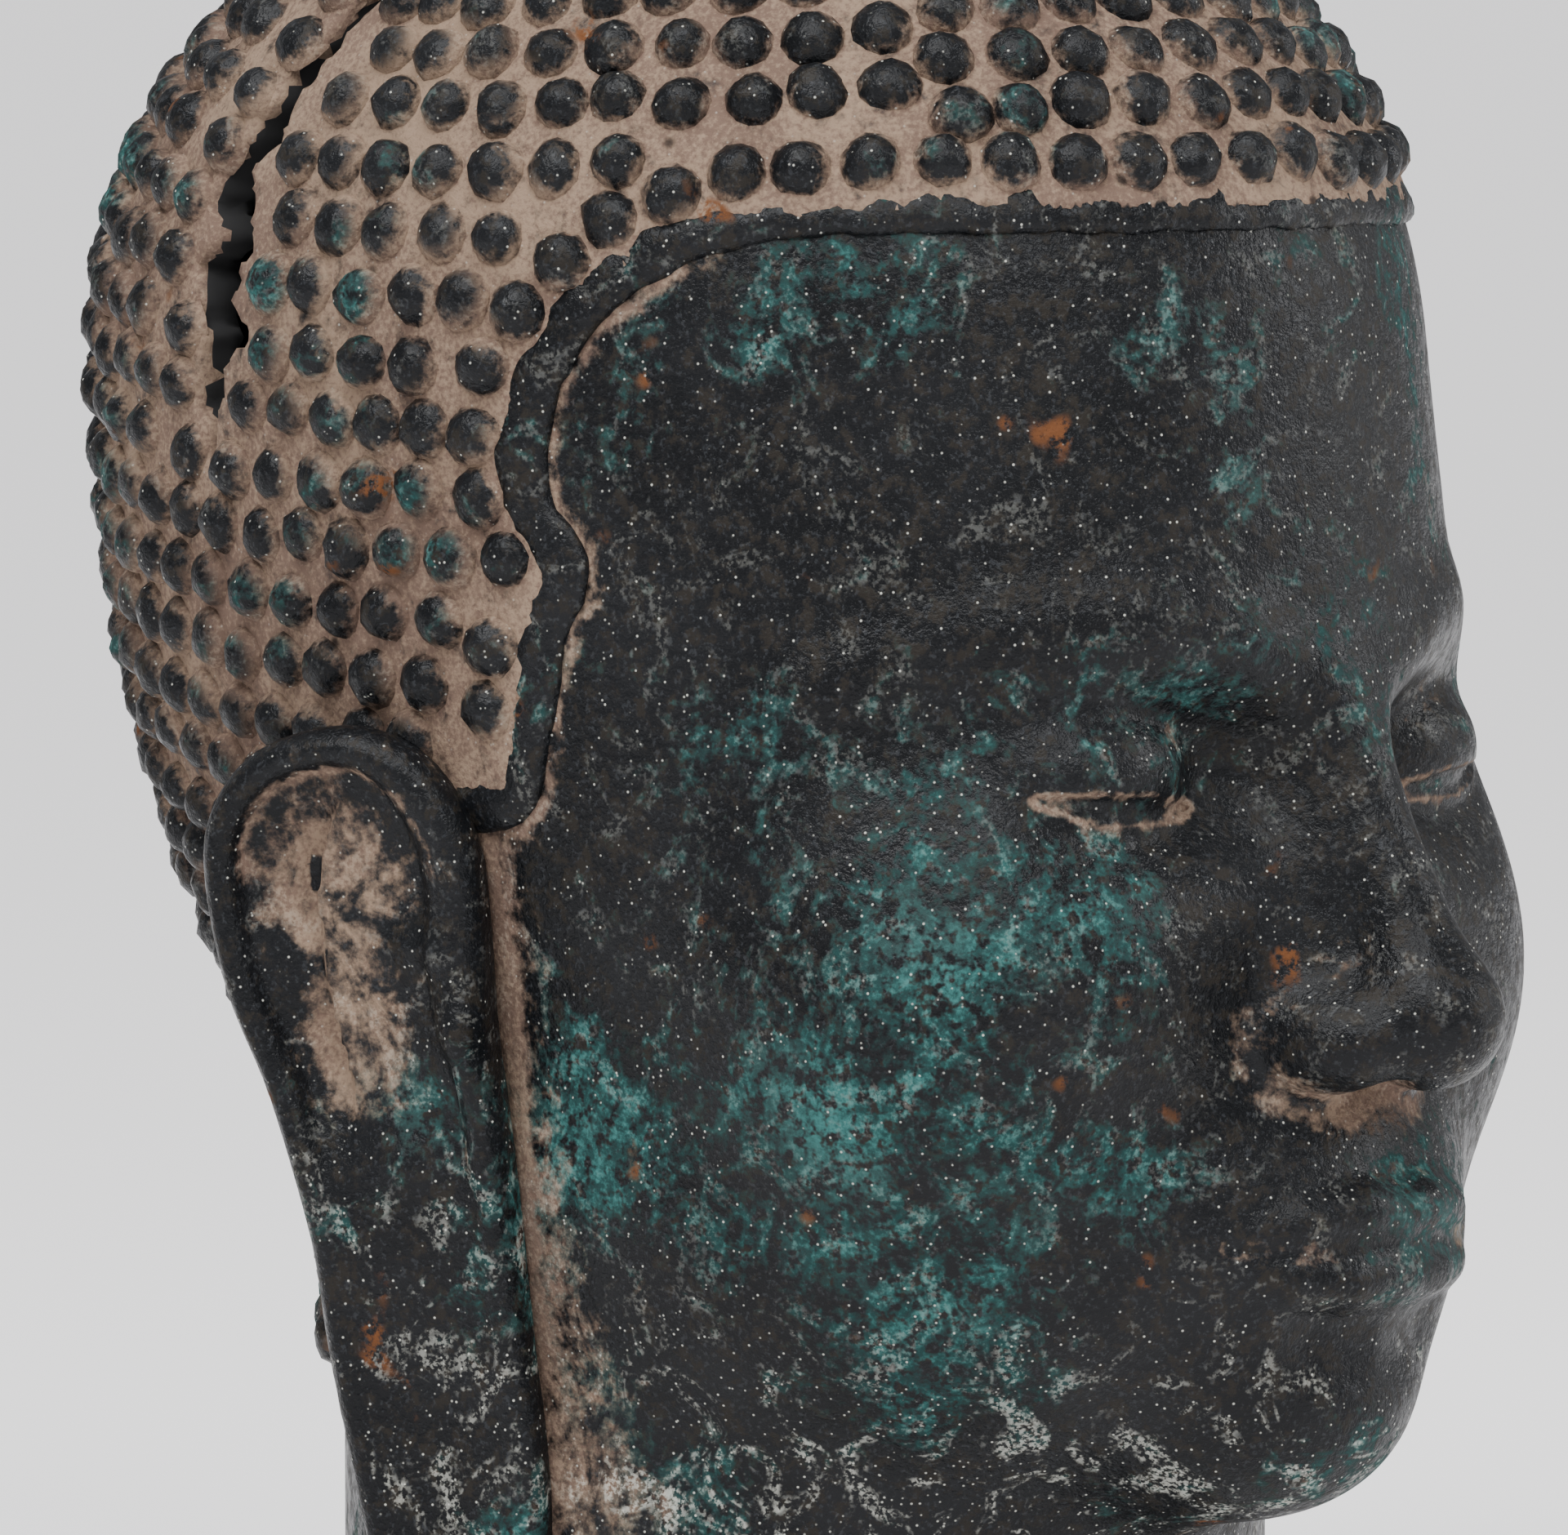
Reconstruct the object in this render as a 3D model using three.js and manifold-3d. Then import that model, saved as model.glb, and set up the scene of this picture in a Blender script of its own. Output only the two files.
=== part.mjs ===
// A head of the Buddha in hollow cast bronze: rows of small raised curls, a raised band along the hairline,
// ears with long lobes, a crack in the back of the crown, and a neck cut flat and open below.
// Millimetres, +Z up. The face looks along -Y. The origin is the centre of the underside.

import * as THREE from "three";
import { ConvexHull } from "three/addons/math/ConvexHull.js";
import { mergeVertices } from "three/addons/utils/BufferGeometryUtils.js";
import Module from "manifold-3d";

const wasm = await Module();
wasm.setup();

// Driving dimensions

const headHeight = 200; // underside of the chin to the top of the hair, without the cranial mound
const neckLength = 36; // flat cut to the underside of the chin
const wall = 5; // bronze wall, measured in from the smooth skull under the hair

// The sculptor's canon: the head is 100 parts high from chin to crown, and its form and carving are written in
// these parts.
const part = headHeight / 100;
const neckParts = neckLength / part;
const chinLevel = neckLength;
const eyeLevel = 44;
const browLevel = 50;
const noseLevel = 25;
const mouthLevel = 16.8;
const hairlineLevel = 74.8;
const napeLevel = 8; // lower edge of the hair at the back
const hairLift = 0.6 * part; // ground between the curls, above the skin
const curlPitch = 4.15 * part; // curl to curl along a row
const rowPitch = 3.85 * part; // row to row, along the surface
const curlHeight = 1.5 * part; // tip of a curl above the ground between the curls
const bandWidth = 2 * part; // raised band along the hairline
const bandHeight = 1.1 * part; // crest of the band above the skin
const earThickness = 3.2 * part; // plate of an ear
const helixRadius = 1.5 * part; // rolled rim of an ear
const crackWidth = 3 * part; // widest gap between the lips of the crack
const mirrored = [-1, 1];

// Volumes of the head, in parts from the underside of the chin. One side is written: x is taken as its own size.
// A ball has radii, with `below` as the lower vertical radius where it differs. A limb tapers between two ends.
const skull = [
  { at: [0, 0, 66.5], radii: [33, 41, 31], below: 60, blend: 0 },
  { from: [0, -3.4, -60], to: [0, -3.4, 20], thick: [26.7, 26.7], blend: 5 },
  { at: [0, -13, 40], radii: [30, 30.5, 43], blend: 6 },
  { at: [0, -15, 18], radii: [27.5, 29, 18.5], blend: 5 },
  { at: [0, 3, 96], radii: [15.5, 16.5, 21], blend: 6 },
];
const features = [
  { at: [15.5, -26, 31], radii: [13.5, 14.5, 15], blend: 5 },
  { at: [0, -36, 9], radii: [9.5, 9.4, 8], blend: 5 },
  { at: [0, -35.4, 18], radii: [12.5, 10.4, 9], blend: 5 },
  { at: [14, -46, 43.8], radii: [11.5, 8.6, 5.8], blend: 5, cut: true },
  { from: [3, -41.4, browLevel - 0.8], to: [14, -38.3, browLevel + 1.2], thick: [0.9, 0.9], blend: 4 },
  { from: [14, -38.3, browLevel + 1.2], to: [25, -28.8, browLevel - 1.2], thick: [0.9, 0.5], blend: 4 },
  { at: [13.4, -33.6, eyeLevel - 0.6], radii: [7.6, 5.7, 5], blend: 1.6 },
  { from: [7, -38.2, 42.9], to: [13.2, -40.1, 43.1], thick: [0.35, 1.7], blend: 0.3, cut: true },
  { from: [13.2, -40.1, 43.1], to: [19.8, -37.2, 43.5], thick: [1.7, 0.35], blend: 0.3, cut: true },
  { at: [13.4, -33.4, 43.2], radii: [7, 5.4, 4.7], blend: 0.2 },
  { from: [0, -45.4, mouthLevel + 2], to: [10.4, -40.6, mouthLevel + 0.9], thick: [1.9, 0.8], blend: 1.2 },
  { from: [0, -44.8, mouthLevel - 2], to: [8.6, -41, mouthLevel - 0.9], thick: [2.3, 1.1], blend: 1.2 },
  { from: [0, -48, mouthLevel], to: [11.4, -42.2, mouthLevel + 0.7], thick: [0.8, 0.6], blend: 0.8, cut: true },
  { from: [0, -47.4, 11.2], to: [6, -45, 11.8], thick: [2.2, 1.6], blend: 3, cut: true },
];
const nose = [
  { from: [0, -40.2, 48], to: [0, -49.2, noseLevel + 5.4], thick: [2.5, 3.4], blend: 3.4 },
  { at: [0, -49.8, noseLevel + 4], radii: [4.3, 4.2, 3.7], blend: 2 },
  { at: [5, -45.6, noseLevel + 3.2], radii: [3.6, 4.6, 3.2], blend: 1.8 },
];
const person = [...skull, ...features];
const noseAndFace = [...person, ...nose];

// Distance fields

function smoothMin(a, b, blend) {
  if (blend <= 0) return Math.min(a, b);
  const near = Math.max(blend - Math.abs(a - b), 0) / blend;
  return Math.min(a, b) - (near * near * blend) / 4;
}

function ballDistance(x, y, z, { at, radii, below }) {
  const dz = z - at[2];
  const rz = dz < 0 && below ? below : radii[2];
  const px = (x - at[0]) / radii[0];
  const py = (y - at[1]) / radii[1];
  const pz = dz / rz;
  const reach = Math.hypot(px, py, pz);
  const slope = Math.hypot(px / radii[0], py / radii[1], pz / rz);
  return slope === 0 ? -Math.min(...radii) : (reach * (reach - 1)) / slope;
}

function limbDistance(x, y, z, { from, to, thick }) {
  const [ax, ay, az] = [to[0] - from[0], to[1] - from[1], to[2] - from[2]];
  const [px, py, pz] = [x - from[0], y - from[1], z - from[2]];
  const share = (px * ax + py * ay + pz * az) / (ax * ax + ay * ay + az * az);
  const along = Math.min(Math.max(share, 0), 1);
  const gap = Math.hypot(px - along * ax, py - along * ay, pz - along * az);
  return gap - thick[0] - along * (thick[1] - thick[0]);
}

// Signed distance to a list of volumes, in millimetres, from a point of the part's own frame.
function distance(volumes, point) {
  const x = Math.abs(point.x) / part;
  const y = point.y / part;
  const z = (point.z - chinLevel) / part;
  let found = Infinity;
  for (const volume of volumes) {
    const one = volume.at ? ballDistance(x, y, z, volume) : limbDistance(x, y, z, volume);
    found = volume.cut ? -smoothMin(-found, one, volume.blend) : smoothMin(found, one, volume.blend);
  }
  return found * part;
}

const reachOut = headHeight; // rays start this far out
const close = 0.005;
const mostSteps = 160;

// The outermost point of the volumes on the ray from `inside` along `heading`, moved in by `depth`.
function surfacePoint(volumes, inside, heading, depth = 0) {
  let along = reachOut;
  const point = new THREE.Vector3();
  for (let step = 0; step < mostSteps; step++) {
    point.copy(heading).multiplyScalar(along).add(inside);
    const gap = distance(volumes, point) + depth;
    if (Math.abs(gap) < close) break;
    along = Math.max(along - 0.85 * gap, 0);
  }
  return point;
}

function outward(volumes, point) {
  const nudge = 0.2;
  const slope = ["x", "y", "z"].map((axis) => {
    const ahead = point.clone();
    const behind = point.clone();
    ahead[axis] += nudge;
    behind[axis] -= nudge;
    return distance(volumes, ahead) - distance(volumes, behind);
  });
  return new THREE.Vector3(...slope).normalize();
}

// A level ray out of the head's axis: azimuth 0 is the face, and 90 degrees is the head's right side, -X.
const levelHeading = (azimuth) =>
  new THREE.Vector3(
    -Math.sin(THREE.MathUtils.degToRad(azimuth)),
    -Math.cos(THREE.MathUtils.degToRad(azimuth)),
    0,
  );
const heightOf = (level) => chinLevel + level * part;
const aroundAt = (volumes, azimuth, level, depth = 0) =>
  surfacePoint(volumes, new THREE.Vector3(0, 0, heightOf(level)), levelHeading(azimuth), depth);

// Hairline, from the middle of the forehead to the ear, as azimuth in degrees and level in parts:
// level across the forehead, round a bay at the temple, out to a point, and down before the ear.
const hairline = [
  [0, hairlineLevel],
  [18, hairlineLevel],
  [36, hairlineLevel - 0.1],
  [50, hairlineLevel - 0.6],
  [60, hairlineLevel - 2.4],
  [68, hairlineLevel - 6.2],
  [72.5, hairlineLevel - 11.5],
  [72.5, hairlineLevel - 16.5],
  [68.5, hairlineLevel - 20],
  [71, hairlineLevel - 23.5],
  [72.5, hairlineLevel - 28],
  [75, hairlineLevel - 32.5],
  [81, hairlineLevel - 33.5],
];
const behindEar = 106;
const hairlineCurve = new THREE.CatmullRomCurve3(
  hairline.map(([azimuth, level]) => new THREE.Vector3(azimuth, level, 0)),
  false,
  "centripetal",
);
const hairlineSteps = 110;
const hairlinePoints = hairlineCurve.getSpacedPoints(hairlineSteps);
const hairRegion = [
  ...hairlinePoints.map(({ x, y }) => [x, y]),
  [behindEar - 8, hairlineLevel - 33.5],
  [behindEar, hairlineLevel - 50],
  [behindEar, napeLevel],
  [181, napeLevel],
  [181, 140],
  [-1, 140],
  [-1, hairlineLevel],
];

function inHair(azimuth, level) {
  const a = Math.abs(azimuth);
  let inside = false;
  hairRegion.forEach(([ax, ay], i) => {
    const [bx, by] = hairRegion[(i + 1) % hairRegion.length];
    if (ay > level !== by > level && a < ((bx - ax) * (level - ay)) / (by - ay) + ax) inside = !inside;
  });
  return inside;
}

// The skin is laid out on a ball without local stretch, where joining neighbours is simple. For that, lines run
// down the skull from the top, and each keeps the angle-keeping turn of its points about the axis.
const centreLevel = 34;
const centre = new THREE.Vector3(0, 0, heightOf(centreLevel));
const lineCount = 72;
const riseStep = 0.5; // degrees
const lowestRise = -78;

// One line down the skull from the top of the mound, with its length and turn at each point.
function meridian(azimuth) {
  const stations = [];
  const out = levelHeading(azimuth);
  for (let rise = 90; rise >= lowestRise; rise -= riseStep) {
    const angle = THREE.MathUtils.degToRad(rise);
    const heading = out.clone().multiplyScalar(Math.cos(angle)).setZ(Math.sin(angle));
    const point = surfacePoint(skull, centre, heading);
    const radius = Math.max(Math.hypot(point.x, point.y), 0.2 * part);
    const before = stations.at(-1);
    const run = before ? point.distanceTo(before.point) : 0;
    stations.push({
      point,
      radius,
      length: before ? before.length + run : 0,
      turn: before ? before.turn - (2 * run) / (radius + before.radius) : 0,
    });
  }
  const level = stations[90 / riseStep].turn;
  stations.forEach((station) => (station.turn -= level));
  return stations;
}
const meridians = Array.from({ length: lineCount }, (_, i) => meridian((i * 360) / lineCount));

// Direction on the ball that stands for a point of the skin.
function toDirection({ x, y, z }) {
  const flat = Math.hypot(x, y);
  if (flat < 1e-6) return new THREE.Vector3(0, 0, Math.sign(z - centre.z));
  const rise = THREE.MathUtils.radToDeg(Math.atan2(z - centre.z, flat));
  const index = Math.min((90 - rise) / riseStep, meridians[0].length - 1.001);
  const low = Math.floor(index);
  const around = (((THREE.MathUtils.radToDeg(Math.atan2(-x, -y)) + 360) % 360) * lineCount) / 360;
  const left = Math.floor(around) % lineCount;
  const [before, after] = [meridians[left], meridians[(left + 1) % lineCount]].map(
    (line) => line[low].turn + (index - low) * (line[low + 1].turn - line[low].turn),
  );
  const turn = before + (around - Math.floor(around)) * (after - before);
  const up = Math.tanh(turn);
  const across = Math.sqrt(1 - up * up) / flat;
  return new THREE.Vector3(across * x, across * y, up);
}

// Triangles of the convex hull of the points' directions: they join the points into one closed skin.
function skinTriangles(points) {
  const directions = points.map(toDirection);
  const order = new Map(directions.map((direction, i) => [direction, i]));
  const hull = new ConvexHull().setFromPoints(directions);
  return hull.faces.map((face) => {
    const corners = [face.edge, face.edge.next, face.edge.next.next];
    return corners.map((edge) => order.get(edge.head().point));
  });
}

// Net of points on the outside of the casting

const net = [];

// Keeps a point unless the net already has one within `room` of its foot on the skin.
function keep(foot, point, room) {
  const crowded = net.some((other) => other.foot.distanceToSquared(foot) < room * room);
  if (!crowded) net.push({ foot, point });
}

function raise(foot, height) {
  return foot.clone().addScaledVector(outward(skull, foot), height);
}

function project(volumes, point) {
  return surfacePoint(volumes, centre, point.clone().sub(centre).normalize());
}

// Points beside the hairline, on the right half of the head, a step towards the hair where `aside` is positive.
const hairlineFeet = hairlinePoints.map(({ x, y }) => aroundAt(person, x, y));
const besideHairline = (aside) =>
  hairlineFeet.map((foot, i) => {
    const before = hairlineFeet[Math.max(i - 1, 0)];
    const after = hairlineFeet[Math.min(i + 1, hairlineFeet.length - 1)];
    const along = after.clone().sub(before);
    const across = along.cross(outward(skull, foot)).normalize();
    return foot.clone().addScaledVector(across, aside);
  });

function toHairline(point) {
  const right = point.clone().setX(-Math.abs(point.x));
  return Math.sqrt(Math.min(...hairlineFeet.map((foot) => foot.distanceToSquared(right))));
}

function bandPoints() {
  const crossings = [
    { aside: -0.5, height: 0 },
    { aside: -0.22, height: bandHeight },
    { aside: 0.28, height: bandHeight },
    { aside: 0.6, height: hairLift },
  ];
  const stations = 3;
  for (const { aside, height } of crossings)
    besideHairline(aside * bandWidth).forEach((foot, i) => {
      if (i % stations) return;
      const point = raise(foot, height);
      for (const side of mirrored) {
        const flip = new THREE.Vector3(-side, 1, 1);
        keep(foot.clone().multiply(flip), point.clone().multiply(flip), 0.2 * bandWidth);
      }
    });
}

// The point of a measured line where its length is `length`.
function pointAt(line, length) {
  const next = line.findIndex((station) => station.length > length);
  if (next < 1) return next === 0 ? line[0].point.clone() : line.at(-1).point.clone();
  const [a, b] = [line[next - 1], line[next]];
  return a.point.clone().lerp(b.point, (length - a.length) / (b.length - a.length));
}

function measured(points) {
  let length = 0;
  return points.map((point, i) => {
    if (i) length += point.distanceTo(points[i - 1]);
    return { point, length };
  });
}

const azimuthOf = ({ x, y }) => THREE.MathUtils.radToDeg(Math.atan2(-x, -y));
const levelOf = ({ z }) => (z - chinLevel) / part;

// Feet of the curls: one row along the hairline, then rows round the mound, each one row pitch below the last.
function curlFeet() {
  const edge = measured(besideHairline((bandWidth + curlPitch) / 2));
  const feet = [];
  for (let length = 0; length < edge.at(-1).length; length += curlPitch) {
    const foot = project(skull, pointAt(edge, length));
    feet.push(foot);
    if (length > 0) feet.push(foot.clone().setX(-foot.x));
  }
  const fixed = feet.length;
  const rows = Math.floor(Math.min(...meridians.map((line) => line.at(-1).length)) / rowPitch);
  const clear = (bandWidth + 1.9 * curlPitch) / 2;
  for (let row = 0; row < rows; row++) {
    const ring = meridians.map((line) => pointAt(line, row * rowPitch));
    const girth = measured([...ring, ring[0]]);
    const count = Math.max(Math.round(girth.at(-1).length / curlPitch), 1);
    for (let i = 0; i < count; i++) {
      const foot = project(skull, pointAt(girth, ((i + (row % 2) / 2) * girth.at(-1).length) / count));
      if (!inHair(azimuthOf(foot), levelOf(foot)) || toHairline(foot) < clear) continue;
      const crowded = feet.slice(0, fixed).some((other) => other.distanceTo(foot) < 0.5 * curlPitch);
      if (!crowded) feet.push(foot);
    }
  }
  return settle(feet, fixed);
}

// Evens out the curls near the hairline, each towards the middle of its neighbours; the row along it stays.
function settle(feet, fixed) {
  const rounds = 8;
  const reach = 6 * curlPitch;
  const free = feet.map((foot, i) => i >= fixed && toHairline(foot) < reach && levelOf(foot) > 45);
  for (let round = 0; round < rounds; round++) {
    const middles = feet.map(() => ({ sum: new THREE.Vector3(), count: 0 }));
    for (const corners of skinTriangles(feet))
      corners.forEach((i, k) => {
        for (const j of [corners[(k + 1) % 3], corners[(k + 2) % 3]]) {
          if (feet[i].distanceTo(feet[j]) > 2 * curlPitch) continue;
          middles[i].sum.add(feet[j]);
          middles[i].count += 1;
        }
      });
    middles.forEach(({ sum, count }, i) => {
      if (free[i] && count > 0) feet[i] = project(skull, feet[i].clone().lerp(sum.divideScalar(count), 0.5));
    });
  }
  return feet;
}

// Each curl has its tip in the net, and the low points where three curls meet.
function hairPoints() {
  const feet = curlFeet();
  feet.forEach((foot) => keep(foot, raise(foot, hairLift + curlHeight), 0.3 * curlPitch));
  const farthest = 1.6 * curlPitch;
  for (const [a, b, c] of skinTriangles(feet)) {
    const corners = [feet[a], feet[b], feet[c]];
    const wide = corners.some((p, i) => p.distanceTo(corners[(i + 1) % 3]) > farthest);
    if (wide) continue;
    const middle = corners[0].clone().add(corners[1]).add(corners[2]).divideScalar(3);
    const foot = project(skull, middle);
    keep(foot, raise(foot, hairLift), 0.3 * curlPitch);
  }
}

function frontPoint(x, level) {
  const before = new THREE.Vector3(x * part, 0, heightOf(level));
  return project(person, surfacePoint(person, before, new THREE.Vector3(0, -1, 0)));
}

// Carved lines of the face, as x and level in parts: rows of points follow them so that their edges stay sharp.
const lidLine = (x) => 43.1 + 0.06 * (x - 13.2);
const lidGape = (x) => Math.max(1.9 * (1 - ((x - 13.3) / 6.5) ** 2), 0.05);
const carvedLines = [
  { from: 0, to: 12.2, steps: 8, level: (x) => mouthLevel + 0.06 * x },
  { from: 0, to: 11.4, steps: 7, level: (x) => mouthLevel + 0.06 * x + 1.3 },
  { from: 0, to: 10.2, steps: 6, level: (x) => mouthLevel + 0.06 * x - 1.4 },
  { from: 6.8, to: 20, steps: 10, level: (x) => lidLine(x) + lidGape(x) },
  { from: 6.8, to: 20, steps: 10, level: (x) => lidLine(x) - lidGape(x) },
  { from: 8.5, to: 18.2, steps: 6, level: (x) => lidLine(x) + 0.5 * lidGape(x) },
  { from: 8.5, to: 18.2, steps: 6, level: (x) => lidLine(x) - 0.5 * lidGape(x) },
];

function facePoints() {
  for (const { from, to, steps, level } of carvedLines)
    for (let i = 0; i <= steps; i++) {
      const x = from + ((to - from) * i) / steps;
      for (const side of mirrored) {
        const foot = frontPoint(side * x, level(x));
        keep(foot, foot, 0.35 * part);
      }
    }
  const bandClear = 0.5 * bandWidth + 0.8 * part;
  const grids = [
    { pitch: 1.5, room: 1.4, inside: (x, level) => x < 13 && level > 9 && level < 24 },
    { pitch: 1.9, room: 1.7, inside: (x, level) => x < 23 && level > 38 && level < 53 },
    { pitch: 3.3, room: 3.1, inside: () => true },
  ];
  for (const { pitch, room, inside } of grids)
    for (let level = 0.5; level < hairlineLevel - 1; level += pitch)
      for (let x = 0; x <= 26; x += pitch)
        for (const side of mirrored) {
          if (!inside(x, level)) continue;
          const foot = frontPoint(side * x, level);
          if (inHair(azimuthOf(foot), levelOf(foot)) || toHairline(foot) < bandClear) continue;
          keep(foot, foot, room * part);
        }
}

function sidePoints() {
  const step = 9;
  const clear = 0.5 * bandWidth + 0.8 * part;
  for (let level = 3 - neckParts; level < hairlineLevel; level += 4.4)
    for (let azimuth = 0; azimuth < 360; azimuth += step) {
      const foot = aroundAt(person, azimuth, level);
      if (inHair(azimuthOf(foot), level) || toHairline(foot) < clear) continue;
      keep(foot, foot, 3.9 * part);
    }
}

const rimSegments = 48;
function rimPoints() {
  for (let i = 0; i < rimSegments; i++) {
    const foot = aroundAt(person, (i * 360) / rimSegments, -neckParts);
    keep(foot, foot, 0.5 * part);
  }
}

// Solids

function toSolid(geometry) {
  const bare = geometry.clone();
  bare.deleteAttribute("normal");
  bare.deleteAttribute("uv");
  const merged = mergeVertices(bare, 1e-4);
  return new wasm.Manifold(
    new wasm.Mesh({
      numProp: 3,
      vertProperties: Float32Array.from(merged.attributes.position.array),
      triVerts: Uint32Array.from(merged.index.array),
    }),
  );
}

function toGeometry(solid) {
  const mesh = solid.getMesh();
  const geometry = new THREE.BufferGeometry();
  geometry.setAttribute("position", new THREE.BufferAttribute(mesh.vertProperties, 3));
  geometry.setIndex(new THREE.BufferAttribute(mesh.triVerts, 1));
  geometry.computeVertexNormals();
  return geometry;
}

function skinSolid(points, triangles) {
  const geometry = new THREE.BufferGeometry().setFromPoints(points);
  geometry.setIndex(triangles.flat());
  return toSolid(geometry);
}

// A solid from triangles that all face the same way, turned so that they face out.
function outsideOut(points, triangles) {
  const solid = skinSolid(points, triangles);
  return solid.volume() > 0 ? solid : skinSolid(points, triangles.map(([a, b, c]) => [a, c, b]));
}

function outerSkin() {
  bandPoints();
  hairPoints();
  rimPoints();
  facePoints();
  sidePoints();
  const under = new THREE.Vector3(0, 0, heightOf(-neckParts));
  net.push({ foot: under, point: under });
  return skinSolid(
    net.map(({ point }) => point),
    skinTriangles(net.map(({ foot }) => foot)),
  );
}

// The nose is a stack of level rings about an upright line behind it, with its back inside the face.
function noseSolid() {
  const fan = 60; // degrees to each side
  const spokes = 10;
  const levels = [50.5, 48, 45, 42, 39, 36, 33.5, 31.5, 30, 28.5, 27, 25.8, 25.1];
  const back = -37.4;
  const rings = levels.map((level) => {
    const inside = new THREE.Vector3(0, (back - 1) * part, heightOf(level));
    const ring = [];
    for (let spoke = 0; spoke <= spokes; spoke++) {
      const turn = (2 * spoke) / spokes - 1;
      const point = surfacePoint(noseAndFace, inside, levelHeading(turn * fan));
      if (Math.abs(turn) === 1 || level === levels[0]) point.lerp(inside, 0.25);
      ring.push(point);
    }
    const half = Math.abs(ring[0].x);
    for (const x of [-half, half]) ring.push(new THREE.Vector3(x, back * part, heightOf(level)));
    return ring;
  });
  const points = rings.flat();
  const around = spokes + 3;
  const triangles = [];
  for (let r = 0; r + 1 < rings.length; r++)
    for (let i = 0; i < around; i++) {
      const [a, b] = [r * around + i, r * around + ((i + 1) % around)];
      triangles.push([a, b, b + around], [a, b + around, a + around]);
    }
  const last = (rings.length - 1) * around;
  for (let i = 1; i + 1 < around; i++) triangles.push([0, i + 1, i], [last, last + i, last + i + 1]);
  return outsideOut(points, triangles);
}

// The hollow follows the smooth skull, one wall in, and runs out through the neck.
function hollow() {
  const around = 14;
  const levels = [-neckParts - 3, -4, 1, 6, 14, 30, 48, 64, 76, 85, 92, 100, 108, 112];
  const points = [];
  for (const level of levels)
    for (let i = 0; i < around; i++) points.push(aroundAt(skull, (i * 360) / around, level, wall));
  points.push(surfacePoint(skull, centre, new THREE.Vector3(0, 0, 1), wall));
  points.push(new THREE.Vector3(0, 0, heightOf(-neckParts - 3)));
  return skinSolid(points, skinTriangles(points));
}

// Ear, in parts from a point on its plate: u runs towards the face and v up.
const earOutline = [
  [-8.3, 10.5],
  [-7.8, 14.6],
  [-4.8, 18.2],
  [0.6, 19.6],
  [5, 18],
  [7.8, 13.8],
  [8.4, 9],
  [8.6, 3],
  [9.2, -3],
  [9.7, -9.4],
  [10.1, -15.8],
  [10.6, -21.5],
  [10.6, -28],
  [9.4, -34],
  [5.6, -37.2],
  [2, -35],
  [0.2, -28.5],
  [-1.1, -21.4],
  [-2, -15.8],
  [-2.8, -9.4],
  [-5, -1.4],
  [-7.2, 4.4],
];
const helixLine = [
  [3.6, 6.9],
  [6.2, 8.2],
  [7, 12],
  [5.4, 16],
  [1, 18],
  [-3.8, 17.1],
  [-6.7, 13.6],
  [-7.1, 9.4],
  [-6, 4.2],
  [-4, -1.6],
  [-1.9, -9.4],
  [-0.7, -16.5],
];
const earAt = [-34.6, 1.4, 26.2];
const earFlare = 20; // degrees that the back edge stands away from the head
const lobeLean = 6; // degrees that the lobe leans in to the neck

function loop(points, count) {
  const corners = points.map(([u, v]) => new THREE.Vector3(u * part, v * part, 0));
  return new THREE.CatmullRomCurve3(corners, true, "centripetal").getSpacedPoints(count).slice(0, -1);
}

function prism(round, depth, bevel = 0) {
  const shape = new THREE.Shape(round.map(({ x, y }) => new THREE.Vector2(x, y)));
  return new THREE.ExtrudeGeometry(shape, {
    depth: depth - 2 * bevel,
    steps: 1,
    bevelEnabled: bevel > 0,
    bevelThickness: bevel,
    bevelSize: bevel,
    bevelOffset: -bevel,
    bevelSegments: 1,
  }).translate(0, 0, bevel - depth);
}

function basin(at, radii) {
  const ball = toSolid(new THREE.SphereGeometry(1, 12, 6).rotateX(Math.PI / 2).scale(...radii.map((r) => r * part)));
  return ball.translate(at.map((a) => a * part));
}

function earSolid() {
  const round = loop(earOutline, 28);
  const bevel = 0.28 * earThickness;
  const plate = toSolid(prism(round, earThickness, bevel));
  const rootDepth = 13 * part;
  const inset = round
    .filter((_, i) => i % 2 === 0)
    .map(({ x, y }) => ({ x: 0.58 * x + 4.2 * part, y: 0.88 * y - 0.6 * part }));
  const root = toSolid(prism(inset, rootDepth).translate(0, 0, -0.5 * earThickness));
  const section = new THREE.Shape(
    Array.from({ length: 6 }, (_, i) => {
      const turn = (i * Math.PI) / 3;
      return new THREE.Vector2(helixRadius * Math.cos(turn), helixRadius * Math.sin(turn));
    }),
  );
  const last = helixLine.length - 1;
  const rim = helixLine.map(([u, v], i) => {
    const sunk = i === 0 || i === last ? 1 : 0.2;
    return new THREE.Vector3(u * part, v * part, -sunk * helixRadius);
  });
  const path = new THREE.CatmullRomCurve3(rim, false, "centripetal");
  const helix = toSolid(new THREE.ExtrudeGeometry(section, { steps: 15, extrudePath: path, bevelEnabled: false }));
  const hollows = [basin([-0.4, 11.4, 0.2], [5.2, 5, 2.2]), basin([0.2, 2.4, 0.2], [3.6, 4.6, 1.6])];
  return hollows.reduce((solid, cut) => solid.subtract(cut), plate).add(helix).add(root);
}

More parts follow.
